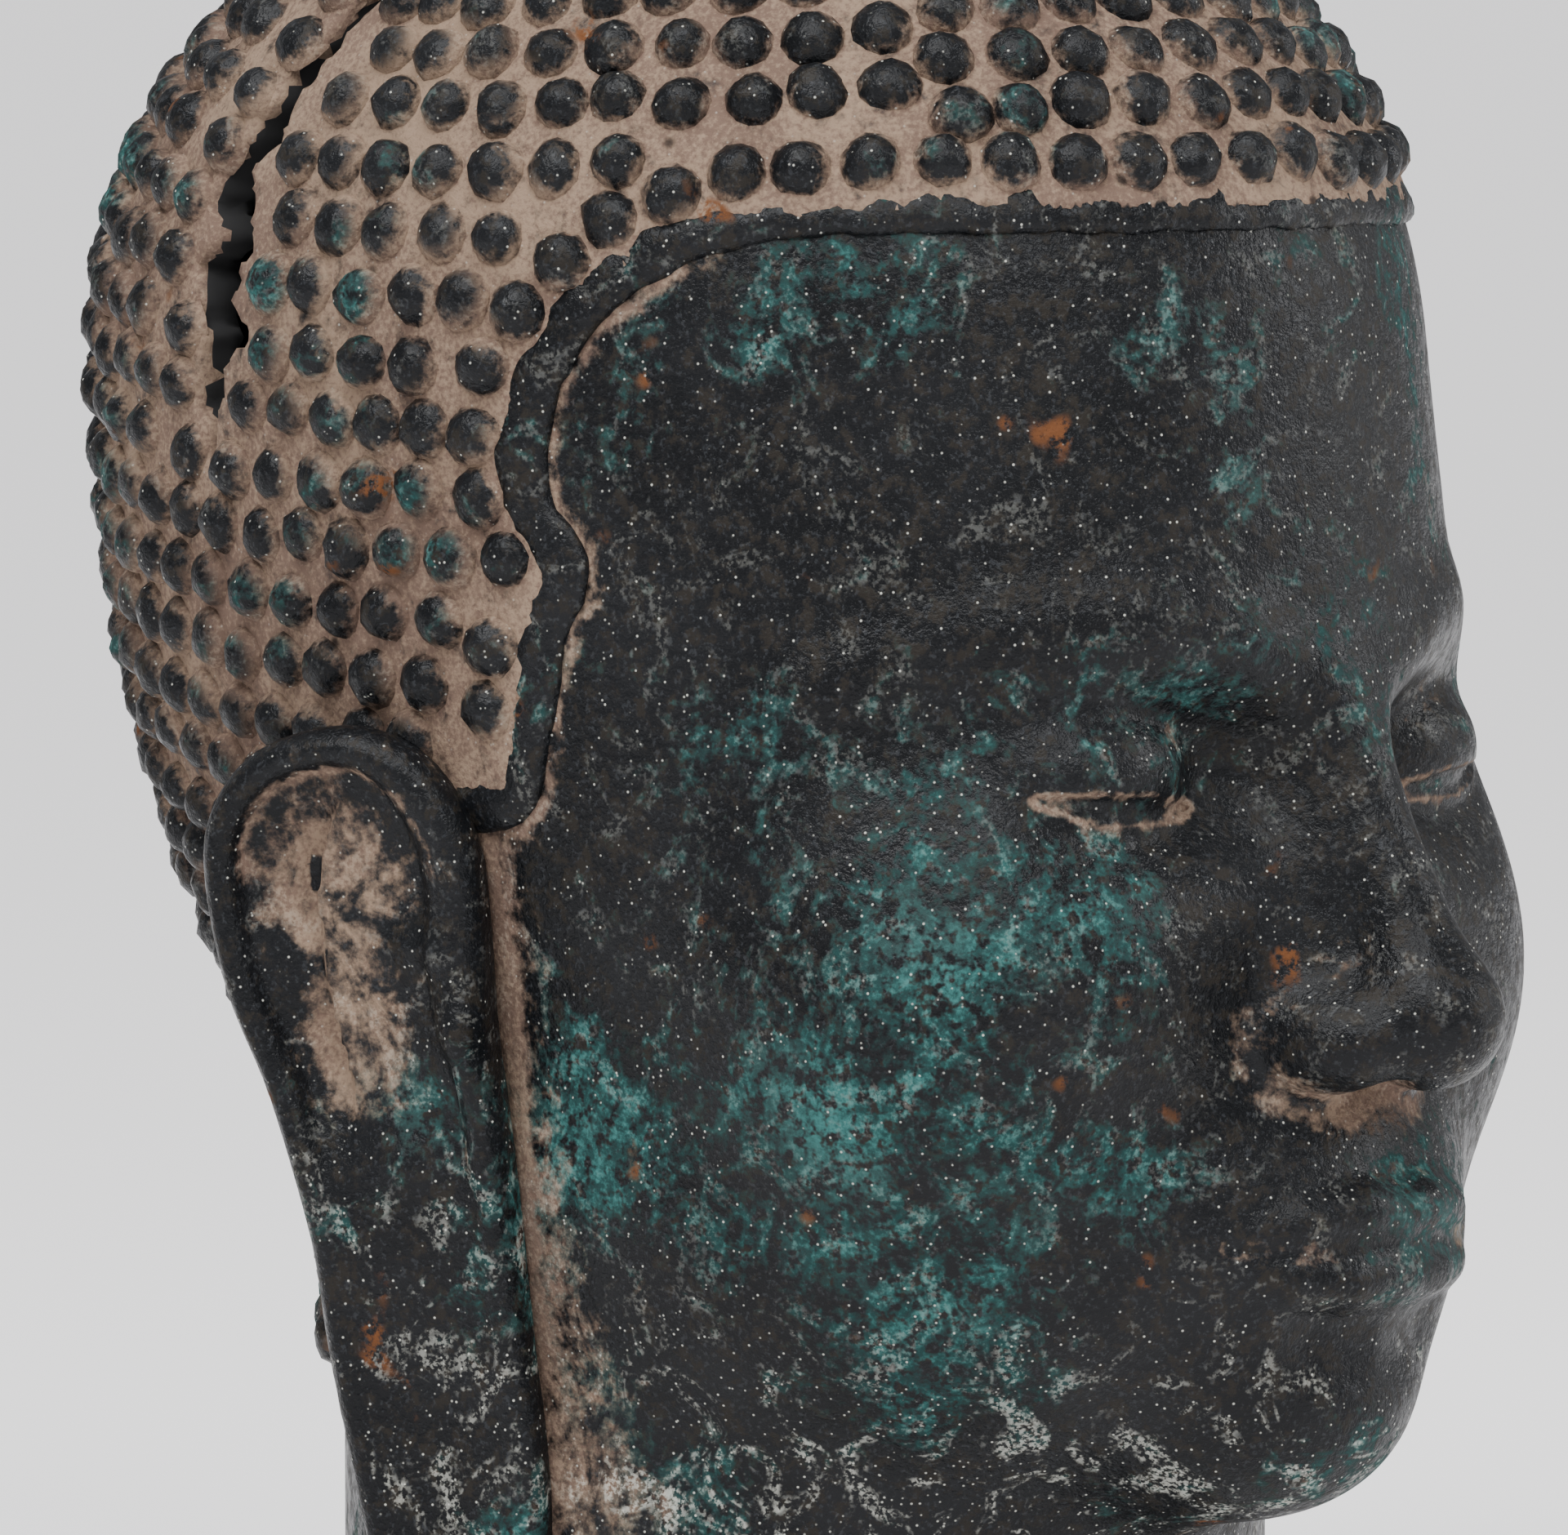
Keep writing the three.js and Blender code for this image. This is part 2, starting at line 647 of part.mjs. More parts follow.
// Places an ear: local x runs to the face, y up, and z out of the plate.
function earPlace(side) {
  const flare = THREE.MathUtils.degToRad(earFlare);
  const forward = new THREE.Vector3(Math.sin(flare), -Math.cos(flare), 0);
  const out = new THREE.Vector3(-Math.cos(flare), -Math.sin(flare), 0);
  const up = new THREE.Vector3(0, 0, 1);
  const turned = new THREE.Matrix4().makeBasis(forward, up, out);
  const leaned = new THREE.Matrix4().makeRotationAxis(forward, THREE.MathUtils.degToRad(lobeLean));
  const place = new THREE.Matrix4()
    .makeTranslation(earAt[0] * part, earAt[1] * part, heightOf(earAt[2]))
    .multiply(leaned)
    .multiply(turned);
  return side < 0 ? place : new THREE.Matrix4().makeScale(-1, 1, 1).multiply(place);
}

// Crack in the back of the crown: its middle line and half its width, as azimuth, level and share of the width.
const crackLine = [
  [116.5, 59.5, 0],
  [116, 63, 0.5],
  [115.5, 67.5, 0.95],
  [115.5, 72.5, 1],
  [116.5, 77, 0.8],
  [113, 80, 0.6],
  [110.5, 84, 0.5],
  [106, 88, 0.3],
  [103, 91, 0],
];

// The gap is a blade through the wall, with its lips square to the skin.
function crackBlade() {
  const lips = [];
  crackLine.forEach(([azimuth, level, share]) => {
    const foot = aroundAt(skull, azimuth, level);
    const out = outward(skull, foot);
    const across = new THREE.Vector3(0, 0, 1).cross(out).normalize();
    const half = Math.max((share * crackWidth) / 2, 0.15);
    const deep = 2.2 * wall;
    const proud = 3 * (hairLift + curlHeight);
    for (const [aside, height] of [[-half, -deep], [half, -deep], [half, proud], [-half, proud]])
      lips.push(foot.clone().addScaledVector(across, aside).addScaledVector(out, height));
  });
  const triangles = [
    [0, 1, 2],
    [0, 2, 3],
  ];
  const stations = crackLine.length;
  for (let s = 0; s + 1 < stations; s++)
    for (let c = 0; c < 4; c++) {
      const [a, b] = [4 * s + c, 4 * s + ((c + 1) % 4)];
      triangles.push([a, a + 4, b + 4], [a, b + 4, b]);
    }
  const last = 4 * (stations - 1);
  triangles.push([last, last + 2, last + 1], [last, last + 3, last + 2]);
  return outsideOut(lips, triangles);
}

const below = { normal: [0, 0, 1], offset: 0 };
const ear = earSolid();
let head = outerSkin().add(noseSolid());
for (const side of mirrored) head = head.add(ear.transform(earPlace(side).elements));
head = head.trimByPlane(below.normal, below.offset).subtract(hollow()).subtract(crackBlade());

const bronze = new THREE.MeshStandardMaterial({ color: 0x2f3a38, roughness: 0.62, metalness: 0.55 });
const buddhaHead = new THREE.Mesh(toGeometry(head), bronze);
buddhaHead.name = "buddha_head";
const reach = new THREE.Box3().setFromObject(buddhaHead);
buddhaHead.position.y = -(reach.min.y + reach.max.y) / 2;

const group = new THREE.Group();
group.add(buddhaHead);
export default group;
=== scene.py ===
"""Dresses the hollow cast bronze head of the Buddha: carved shell, curls, hairline band, ears and patina.

The head is written as smoothly blended volumes on the sculptor's canon of 100 parts from chin to crown.
Lengths inside the carving are in those parts; what reaches Blender is in metres in the shared frame: +Z up,
the face looks along -Y, and the head's right ear is on -X.
"""

import logging
import math
from dataclasses import dataclass
from enum import Enum

import bpy
import numpy as np
from mathutils import Matrix, Vector


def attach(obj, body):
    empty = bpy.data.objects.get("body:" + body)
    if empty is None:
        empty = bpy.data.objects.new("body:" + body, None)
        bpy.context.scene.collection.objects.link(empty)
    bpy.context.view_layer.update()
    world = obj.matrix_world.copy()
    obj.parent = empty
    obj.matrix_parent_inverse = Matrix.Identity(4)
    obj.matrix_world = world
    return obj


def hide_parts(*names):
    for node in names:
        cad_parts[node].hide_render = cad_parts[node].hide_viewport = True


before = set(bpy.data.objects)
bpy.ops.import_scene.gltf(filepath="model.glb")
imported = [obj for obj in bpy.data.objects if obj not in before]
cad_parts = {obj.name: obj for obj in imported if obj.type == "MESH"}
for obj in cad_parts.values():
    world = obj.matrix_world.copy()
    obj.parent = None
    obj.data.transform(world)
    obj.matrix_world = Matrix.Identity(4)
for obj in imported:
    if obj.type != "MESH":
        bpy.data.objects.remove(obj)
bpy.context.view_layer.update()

LOG = logging.getLogger("buddha_head")
NODE = "buddha_head"
PART = 0.002  # one part of the canon in metres: the head is 200 mm from chin to crown
NECK = 18.0  # parts from the flat cut to the underside of the chin
AXIS_Y = 0.0109  # the CAD centres its box on the origin, which sets the head's own axis this far back
WALL = 2.5  # bronze wall in parts, 5 mm
HAIR_LIFT = 0.6  # ground between the curls above the skin, in parts
CRACK_SIDE = 60  # degrees: the crack and what settled beside it lie past this azimuth, on the right
SEED = 8515


class Side(Enum):
    """Side of the head, as the sign of X."""

    RIGHT = -1
    LEFT = 1


# Form


@dataclass(frozen=True)
class Ball:
    """Ellipsoid of the form, in parts from the underside of the chin; x is mirrored."""

    at: tuple[float, float, float]
    radii: tuple[float, float, float]
    blend: float
    below: float = 0.0
    cut: bool = False

    def distance(self, x: np.ndarray, y: np.ndarray, z: np.ndarray) -> np.ndarray:
        """Signed distance to the ellipsoid.

        Args:
            x, y, z: coordinates in parts.

        Returns:
            Distances in parts, negative inside.
        """
        dz = z - self.at[2]
        rz = np.where(dz < 0, self.below or self.radii[2], self.radii[2]).astype(x.dtype)
        px, py, pz = (x - self.at[0]) / self.radii[0], (y - self.at[1]) / self.radii[1], dz / rz
        reach = np.sqrt(px * px + py * py + pz * pz)
        slope = np.sqrt((px / self.radii[0]) ** 2 + (py / self.radii[1]) ** 2 + (pz / rz) ** 2)
        return reach * (reach - 1) / np.maximum(slope, 1e-6)


@dataclass(frozen=True)
class Limb:
    """Round limb of the form that tapers between two ends, in parts; x is mirrored."""

    start: tuple[float, float, float]
    end: tuple[float, float, float]
    thick: tuple[float, float]
    blend: float
    cut: bool = False

    def distance(self, x: np.ndarray, y: np.ndarray, z: np.ndarray) -> np.ndarray:
        """Signed distance to the limb.

        Args:
            x, y, z: coordinates in parts.

        Returns:
            Distances in parts, negative inside.
        """
        ax, ay, az = (b - a for a, b in zip(self.start, self.end))
        px, py, pz = x - self.start[0], y - self.start[1], z - self.start[2]
        along = np.clip((px * ax + py * ay + pz * az) / (ax * ax + ay * ay + az * az), 0, 1)
        gap = np.sqrt((px - along * ax) ** 2 + (py - along * ay) ** 2 + (pz - along * az) ** 2)
        return gap - self.thick[0] - along * (self.thick[1] - self.thick[0])


@dataclass(frozen=True)
class Ridge:
    """Round ridge or groove through several points (x, y, z, radius), in parts; x is mirrored."""

    points: tuple[tuple[float, float, float, float], ...]
    blend: float
    cut: bool = False

    def distance(self, x: np.ndarray, y: np.ndarray, z: np.ndarray) -> np.ndarray:
        """Signed distance to the ridge.

        Args:
            x, y, z: coordinates in parts.

        Returns:
            Distances in parts, negative inside.
        """
        limbs = (Limb(a[:3], b[:3], (a[3], b[3]), 0) for a, b in zip(self.points, self.points[1:]))
        return np.minimum.reduce([limb.distance(x, y, z) for limb in limbs])


Volume = Ball | Limb | Ridge

SKULL: tuple[Volume, ...] = (
    Ball((0, 0, 66.5), (33, 41, 31), 0, below=60),  # crown, drawn out below
    Limb((0, -3.4, -60), (0, -3.4, 20), (26.7, 26.7), 5),  # neck
    Ball((0, -13, 40), (30, 30.5, 43), 6),  # front of the head
    Ball((0, -15, 18), (27.5, 29, 18.5), 5),  # jaw
    Ball((0, 3, 96), (15.5, 16.5, 21), 6),  # cranial mound
)
FACE: tuple[Volume, ...] = (
    Ball((15.5, -26, 31), (13.5, 14.5, 15), 5),  # cheek
    Ball((0, -36, 9), (9.5, 9.4, 8), 5),  # chin
    Ball((0, -35.4, 18), (12.5, 10.4, 9), 5),  # round of the mouth
    Ball((14, -46, 43.8), (11.5, 8.9, 5.8), 4, cut=True),  # eye socket
    Ridge(  # brow
        (
            (2.2, -40.6, 47.6, 0.7),
            (7.5, -40.4, 50.8, 0.8),
            (14, -37.6, 52.2, 0.8),
            (20.5, -32.6, 51.4, 0.6),
            (26, -26, 48.6, 0),
        ),
        4,
    ),
    Ball((13.4, -32.4, 43.6), (7.9, 7.3, 5.4), 1),  # lids
    Ridge(  # gap between the lids
        (
            (8.6, -38, 41.8, 0.2),
            (10.4, -39.2, 41.5, 0.6),
            (13.4, -40, 41.4, 1.3),
            (16.8, -39, 41.8, 1),
            (20, -36.6, 42.6, 0.25),
        ),
        0.2,
        cut=True,
    ),
    Ball((13.4, -32.2, 42.6), (7.3, 6.6, 5), 0.1),  # eyeball in the gap
    Ridge(  # upper lip
        ((0, -46, 18.8, 1.35), (2.6, -46, 19.2, 1.45), (6.4, -44.8, 18.8, 1.2), (10.6, -42, 17.6, 0.5)),
        1.2,
    ),
    Ridge(  # lower lip
        ((0, -45.5, 14.9, 2.1), (3.4, -45.2, 15, 2), (6.8, -44.1, 15.6, 1.5), (10, -42.1, 16.6, 0.6)),
        1.3,
    ),
    Ridge(  # line between the lips
        ((0, -47.9, 17.2, 0.5), (4.5, -47.3, 17, 0.5), (8, -45.4, 17.1, 0.45), (11, -43, 17.6, 0.3)),
        0.5,
        cut=True,
    ),
    Limb((0, -48.2, 11), (5, -46.2, 11.5), (2.2, 1.4), 3.4, cut=True),  # hollow under the lip
    Limb((0, -40.6, 48), (0, -48.4, 30.6), (2.2, 3.2), 3.4),  # bridge of the nose
    Limb((1.6, -40.4, 42), (4, -43.4, 30), (1.5, 2.2), 3),  # side of the nose
    Ball((0, -48.6, 29.6), (3.9, 3.6, 3.3), 3.4),  # tip
    Ball((4.4, -45, 28.6), (2.9, 4, 2.6), 2.2),  # wing
    Ball((2.4, -47.2, 25.9), (1.2, 1.8, 1), 0.8, cut=True),  # nostril
)
GROOVES = tuple(part for part in FACE if isinstance(part, Ridge) and part.cut)
UNGROOVED = SKULL + tuple(part for part in FACE if part not in GROOVES)
HAIR_CENTRE = np.array([0, 0, 34.0])  # where the rays that place the curls start
HAIRLINE: tuple[tuple[float, float], ...] = (  # azimuth in degrees from the face, level in parts
    (0, 74.8),
    (18, 74.8),
    (36, 74.7),
    (50, 74.2),
    (60, 72.4),
    (68, 68.6),
    (72.5, 63.3),
    (72.5, 58.3),
    (68.5, 54.8),
    (71, 51.3),
    (72.5, 46.8),
    (75, 42.3),
    (81, 41.3),
)
NAPE = 8.0  # level of the hair's lower edge at the back
BEHIND_EAR: tuple[tuple[float, float], ...] = (  # edge of the hair from the ear down to the nape
    (98, 41.3),
    (106, 24.8),
    (107.5, 15),
    (114, 9.5),
    (124, NAPE),
)
CRACK: tuple[tuple[float, float, float], ...] = (  # level, azimuth, share of the widest gap
    (59.5, 115.5, 0),
    (63, 115, 0.5),
    (67.5, 114, 0.95),
    (72.5, 114, 1),
    (77, 115, 0.8),
    (80, 112, 0.65),
    (84, 109.5, 0.5),
    (88, 105, 0.35),
    (91, 102, 0),
)
CRACK_WIDTH = 4.8  # widest gap in parts
CRACK_FOOT = 60  # level where the crack closes below


def smooth_min(a: np.ndarray, b: np.ndarray, blend: float) -> np.ndarray:
    """Minimum of two distances with a rounded meeting line.

    Args:
        a, b: distances.
        blend: width of the rounding.

    Returns:
        The blended distances.
    """
    if blend <= 0:
        return np.minimum(a, b)
    near = np.maximum(blend - np.abs(a - b), 0) / blend
    return np.minimum(a, b) - near * near * (blend / 4)


def smooth_step(value: np.ndarray, low: float, high: float) -> np.ndarray:
    """Smooth rise from 0 to 1.

    Args:
        value: the values.
        low: where the rise starts.
        high: where it ends.

    Returns:
        Shares from 0 to 1.
    """
    t = np.clip((value - low) / (high - low), 0, 1)
    return t * t * (3 - 2 * t)


def folded(points: np.ndarray) -> tuple[np.ndarray, np.ndarray, np.ndarray]:
    """Splits points into the coordinates that the volumes are written in.

    Args:
        points: coordinates in parts, shape (n, 3).

    Returns:
        x, y and z, with x taken to the positive side.
    """
    return np.abs(points[:, 0]), points[:, 1], points[:, 2]


def on_right(points: np.ndarray) -> np.ndarray:
    """Mirrors points to the head's right side.

    Args:
        points: coordinates in parts, shape (n, 3).

    Returns:
        Coordinates in parts, with x on the negative side.
    """
    return np.column_stack([-np.abs(points[:, 0]), points[:, 1:]])


def form_distance(volumes: tuple[Volume, ...], points: np.ndarray) -> np.ndarray:
    """Signed distance to a list of blended volumes.

    Args:
        volumes: the form, in the order in which its volumes are joined or cut.
        points: coordinates in parts, shape (n, 3).

    Returns:
        Distances in parts, shape (n,).
    """
    x, y, z = folded(points)
    found = np.full(len(points), 1e3, dtype=points.dtype)
    for volume in volumes:
        one = volume.distance(x, y, z)
        found = -smooth_min(-found, one, volume.blend) if volume.cut else smooth_min(found, one, volume.blend)
    return found


def azimuth_of(points: np.ndarray) -> np.ndarray:
    """Azimuth of points about the head's axis.

    Args:
        points: coordinates in parts, shape (n, 3).

    Returns:
        Degrees from the face, positive on the head's right side.
    """
    return np.degrees(np.arctan2(-points[:, 0], -points[:, 1]))


def crack_offset(points: np.ndarray) -> tuple[np.ndarray, np.ndarray]:
    """Where points lie against the crack's ragged middle line.

    Args:
        points: coordinates in parts, shape (n, 3).

    Returns:
        Distance across the crack in parts, positive behind it, and half the gap's width at that level.
    """
    level = points[:, 2]
    levels, middles, shares = (np.array(column) for column in zip(*CRACK))
    ragged = 0.9 * np.sin(level * 1.1) + 0.55 * np.sin(level * 2.3 + 1) + 0.25 * np.sin(level * 3.9)
    middle = np.interp(level, levels, middles) + ragged * np.interp(level, levels, shares)
    radius = np.hypot(points[:, 0], points[:, 1])
    across = np.radians(azimuth_of(points) - middle) * radius
    half = np.interp(level, levels, shares, left=-1, right=-1) * CRACK_WIDTH / 2
    return across, half * (1 + 0.15 * np.sin(level * 1.7))


def crack_settling(points: np.ndarray) -> np.ndarray:
    """How far the surface has sunk beside the crack, most on the flake behind it.

    Args:
        points: coordinates in parts, shape (n, 3).

    Returns:
        Depths in parts, positive inwards.
    """
    across, _ = crack_offset(points)
    window = np.exp(-(((points[:, 2] - 72) / 11) ** 2)) * (azimuth_of(points) > CRACK_SIDE)
    rear = 0.8 * np.exp(-np.maximum(across, 0) / 5.5)
    front = 0.25 * np.exp(np.minimum(across, 0) / 3)
    return window * np.where(across > 0, rear, front)


def inside_outline(a: np.ndarray, b: np.ndarray, loop: np.ndarray) -> np.ndarray:
    """Tells which points of a plane lie in a closed outline.

    Args:
        a, b: coordinates, shape (n,).
        loop: corners of the outline, shape (m, 2).

    Returns:
        Booleans, shape (n,).
    """
    inside = np.zeros(len(a), dtype=bool)
    for (a0, b0), (a1, b1) in zip(loop, np.roll(loop, -1, axis=0)):
        if b0 != b1:
            inside ^= ((b0 > b) != (b1 > b)) & (a < (a1 - a0) * (b - b0) / (b1 - b0) + a0)
    return inside


def in_hair(points: np.ndarray) -> np.ndarray:
    """Tells which points lie in the hair.

    Args:
        points: coordinates in parts, shape (n, 3).

    Returns:
        Booleans, shape (n,).
    """
    beyond = [(181, NAPE), (181, 140), (-1, 140), (-1, HAIRLINE[0][1])]  # past the back's middle and the top
    region = np.vstack([hairline_path(), BEHIND_EAR, beyond])
    return inside_outline(np.abs(azimuth_of(points)), points[:, 2], region)


def run_length(points: np.ndarray) -> np.ndarray:
    """Length of a line up to each of its points.

    Args:
        points: the line, shape (n, d).

    Returns:
        Lengths from its start, shape (n,).
    """
    return np.concatenate([[0], np.cumsum(np.linalg.norm(np.diff(points, axis=0), axis=1))])


def at_lengths(points: np.ndarray, wanted: np.ndarray) -> np.ndarray:
    """Places at given lengths along a line.

    Args:
        points: the line, shape (n, d).
        wanted: lengths from its start, shape (m,).

    Returns:
        Points, shape (m, d).
    """
    length = run_length(points)
    return np.stack([np.interp(wanted, length, column) for column in points.T], axis=1)


def catmull(points: np.ndarray, steps: int, closed: bool = False) -> np.ndarray:
    """Smooth curve through points, evenly spaced along its length.

    Args:
        points: corners, shape (n, d).
        steps: number of points wanted.
        closed: whether the curve returns to its start.

    Returns:
        Points on the curve, shape (steps, d).
    """
    corners = np.asarray(points, dtype=float)
    if closed:
        corners = np.vstack([corners[-1], corners, corners[:2]])
    else:
        corners = np.vstack([2 * corners[0] - corners[1], corners, 2 * corners[-1] - corners[-2]])
    pieces = []
    for p0, p1, p2, p3 in zip(corners, corners[1:], corners[2:], corners[3:]):
        t = np.linspace(0, 1, 24, endpoint=False)[:, None]
        slope, bend, twist = p2 - p0, 2 * p0 - 5 * p1 + 4 * p2 - p3, 3 * p1 - p0 - 3 * p2 + p3
        pieces.append(0.5 * (2 * p1 + slope * t + bend * t**2 + twist * t**3))
    curve = np.vstack([*pieces, corners[-2][None]])
    return at_lengths(curve, np.linspace(0, run_length(curve)[-1], steps, endpoint=not closed))


def hairline_path(steps: int = 160) -> np.ndarray:
    """Hairline of the right half, from the middle of the forehead to the ear.

    Args:
        steps: number of points wanted.

    Returns:
        Azimuths and levels, shape (steps, 2).
    """
    return catmull(np.array(HAIRLINE), steps)


def cast_rays(volumes: tuple[Volume, ...], starts: np.ndarray, headings: np.ndarray) -> np.ndarray:
    """Outermost points of the form on rays.

    Args:
        volumes: the form.
        starts: points inside the form, shape (n, 3).
        headings: unit vectors, shape (n, 3).

    Returns:
        Points on the form, shape (n, 3).
    """
    along = np.full(len(starts), 100.0)
    for _ in range(90):
        gap = form_distance(volumes, starts + headings * along[:, None])
        along = np.maximum(along - 0.85 * gap, 0)
        if np.abs(gap).max() < 1e-3:
            break
    return starts + headings * along[:, None]


def around_at(volumes: tuple[Volume, ...], azimuths: np.ndarray, levels: np.ndarray) -> np.ndarray:
    """Points of the form on level rays from the head's axis.

    Args:
        volumes: the form.
        azimuths: degrees from the face.
        levels: parts above the chin.

    Returns:
        Points in parts, shape (n, 3).
    """
    turn = np.radians(azimuths)
    starts = np.stack([0 * turn, 0 * turn, levels + 0 * turn], axis=1)
    return cast_rays(volumes, starts, np.stack([-np.sin(turn), -np.cos(turn), 0 * turn], axis=1))


def outward(volumes: tuple[Volume, ...], points: np.ndarray, nudge: float = 0.1) -> np.ndarray:
    """Directions out of the form.

    Args:
        volumes: the form.
        points: coordinates in parts, shape (n, 3).
        nudge: half the step of the difference, in parts.

    Returns:
        Unit vectors, shape (n, 3).
    """
    steps = np.eye(3, dtype=points.dtype) * nudge
    slope = [form_distance(volumes, points + step) - form_distance(volumes, points - step) for step in steps]
    slope = np.stack(slope, axis=1)
    return slope / np.maximum(np.linalg.norm(slope, axis=1, keepdims=True), 1e-9)


def to_metres(points: np.ndarray) -> np.ndarray:
    """Takes points of the canon to the shared frame.

    Args:
        points: coordinates in parts, shape (n, 3).

    Returns:
        Coordinates in metres, shape (n, 3).
    """
    return (points + np.array([0, 0, NECK])) * PART + np.array([0, AXIS_Y, 0])


# Meshes


def planes(*stretches: tuple[float, float], end: float) -> np.ndarray:
    """Grid planes along one axis, closer in some stretches than in others.

    Args:
        *stretches: where each one starts, and its step.
        end: where the last one ends.

    Returns:
        Coordinates.
    """
    ends = [start for start, _ in stretches[1:]] + [end]
    return np.concatenate([np.arange(start, stop, step) for (start, step), stop in zip(stretches, ends)])


def surface_net(axes: tuple[np.ndarray, ...], values: np.ndarray) -> tuple[np.ndarray, np.ndarray]:
    """Wraps the zero surface of a sampled distance field in quads.

    Args:
        axes: coordinates of the grid planes along x, y and z.
        values: distances at the grid points, shape (nx, ny, nz).

    Returns:
        Vertices, shape (n, 3), and quads that face out, shape (m, 4).
    """
    inside = values < 0
    count = np.zeros(tuple(n - 1 for n in values.shape), dtype=np.int8)
    corners = [(i, j, k) for i in (0, 1) for j in (0, 1) for k in (0, 1)]
    nx, ny, nz = count.shape
    for i, j, k in corners:
        count += inside[i : i + nx, j : j + ny, k : k + nz]
    cells = np.argwhere((count > 0) & (count < 8))
    total, hits = np.zeros((len(cells), 3)), np.zeros(len(cells))
    for a in corners:
        for axis in range(3):
            if a[axis]:
                continue
            b = tuple(v + (n == axis) for n, v in enumerate(a))
            low, high = cells + a, cells + b
            va, vb = values[tuple(low.T)], values[tuple(high.T)]
            crossed = (va < 0) != (vb < 0)
            share = np.where(crossed, va / np.where(va == vb, 1, va - vb), 0)[:, None]
            pa = np.stack([axes[n][low[:, n]] for n in range(3)], axis=1)
            pb = np.stack([axes[n][high[:, n]] for n in range(3)], axis=1)
            total += np.where(crossed[:, None], pa + (pb - pa) * share, 0)
            hits += crossed
    vertices = total / hits[:, None]
    index = np.full(count.shape, -1, dtype=np.int32)
    index[tuple(cells.T)] = np.arange(len(cells))
    quads = []
    for axis in range(3):
        one, two = (axis + 1) % 3, (axis + 2) % 3
        low = [slice(1, -1)] * 3
        low[axis] = slice(0, -1)
        high = [slice(1, -1)] * 3
        high[axis] = slice(1, None)
        start, end = inside[tuple(low)], inside[tuple(high)]
        for leaving in (True, False):
            edges = np.argwhere((start == leaving) & (end != leaving)) + [int(n != axis) for n in range(3)]
            ring = []
            for da, db in ((0, 0), (1, 0), (1, 1), (0, 1)):
                cell = edges.copy()
                cell[:, one] -= 1 - da
                cell[:, two] -= 1 - db
                ring.append(index[tuple(cell.T)])
            ring = np.stack(ring, axis=1)
            quads.append(ring if leaving else ring[:, ::-1])
    return vertices, np.vstack(quads)


def add_piece(
    name: str,
    vertices: np.ndarray,
    faces: np.ndarray | list,
    collection: bpy.types.Collection,
    edges: list[tuple[int, int]] | None = None,
) -> bpy.types.Object:
    """Makes a smooth shaded mesh object.

    Args:
        name: the object's name.
        vertices: coordinates, shape (n, 3).
        faces: vertex numbers of each face.
        collection: where the object goes.
        edges: vertex numbers of the edges of a bare line.

    Returns:
        The object, at the origin and unturned.
    """
    mesh = bpy.data.meshes.new(name)
    mesh.from_pydata(np.asarray(vertices, dtype=float).tolist(), edges or [], np.asarray(faces).tolist())
    mesh.update()
    if len(faces):
        mesh.shade_smooth()
    piece = bpy.data.objects.new(name, mesh)
    collection.objects.link(piece)
    return piece


def store(mesh: bpy.types.Mesh, name: str, values: np.ndarray) -> None:
    """Writes one number or vector per vertex.

    Args:
        mesh: the mesh.
        name: name of the attribute.
        values: shape (n,) or (n, 3).
    """
    kind, key = ("FLOAT_VECTOR", "vector") if values.ndim == 2 else ("FLOAT", "value")
    layer = mesh.attributes.new(name, kind, "POINT")
    layer.data.foreach_set(key, np.ascontiguousarray(values, dtype=np.float32).ravel())


# Materials


def colour(code: str) -> tuple[float, float, float, float]:
    """Turns an sRGB hex code into Blender's linear colour.

    Args:
        code: such as "#2a2a2d".

    Returns:
        Linear red, green, blue and alpha.
    """
    shares = (int(code[i : i + 2], 16) / 255 for i in (1, 3, 5))
    linear = [s / 12.92 if s <= 0.04045 else ((s + 0.055) / 1.055) ** 2.4 for s in shares]
    return (linear[0], linear[1], linear[2], 1.0)


def add_node(
    tree: bpy.types.NodeTree, kind: str, inputs: dict | None = None, **settings: object
) -> bpy.types.Node:
    """Adds a node, sets it up and feeds its inputs.

    Args:
        tree: the node tree.
        kind: the node's type.
        inputs: socket name or number to a constant, or to the socket that feeds it.
        **settings: properties of the node.

    Returns:
        The node.
    """
    node = tree.nodes.new(kind)
    for name, value in settings.items():
        setattr(node, name, value)
    for key, value in (inputs or {}).items():
        if isinstance(value, bpy.types.NodeSocket):
            tree.links.new(value, node.inputs[key])
        else:
            node.inputs[key].default_value = value
    return node


@dataclass(frozen=True)
class PlainFinish:
    """One even colour."""

    name: str
    code: str
    roughness: float

    def build(self) -> bpy.types.Material:
        """Makes the material.

        Returns:
            The material.
        """
        material = bpy.data.materials.new(self.name)
        material.use_nodes = True
        shader = material.node_tree.nodes["Principled BSDF"]
        shader.inputs["Base Color"].default_value = colour(self.code)
        shader.inputs["Roughness"].default_value = self.roughness
        return material


INSIDE_SHADE = PlainFinish("painted inside shade", "#0b0b0c", 0.95)  # painted shade for the unlit hollow and crack: matt, and blacker than any skin
PAPER = PlainFinish("pale paper", "#f6f5f6", 0.9)  # the sweep: nearly white, without a gloss


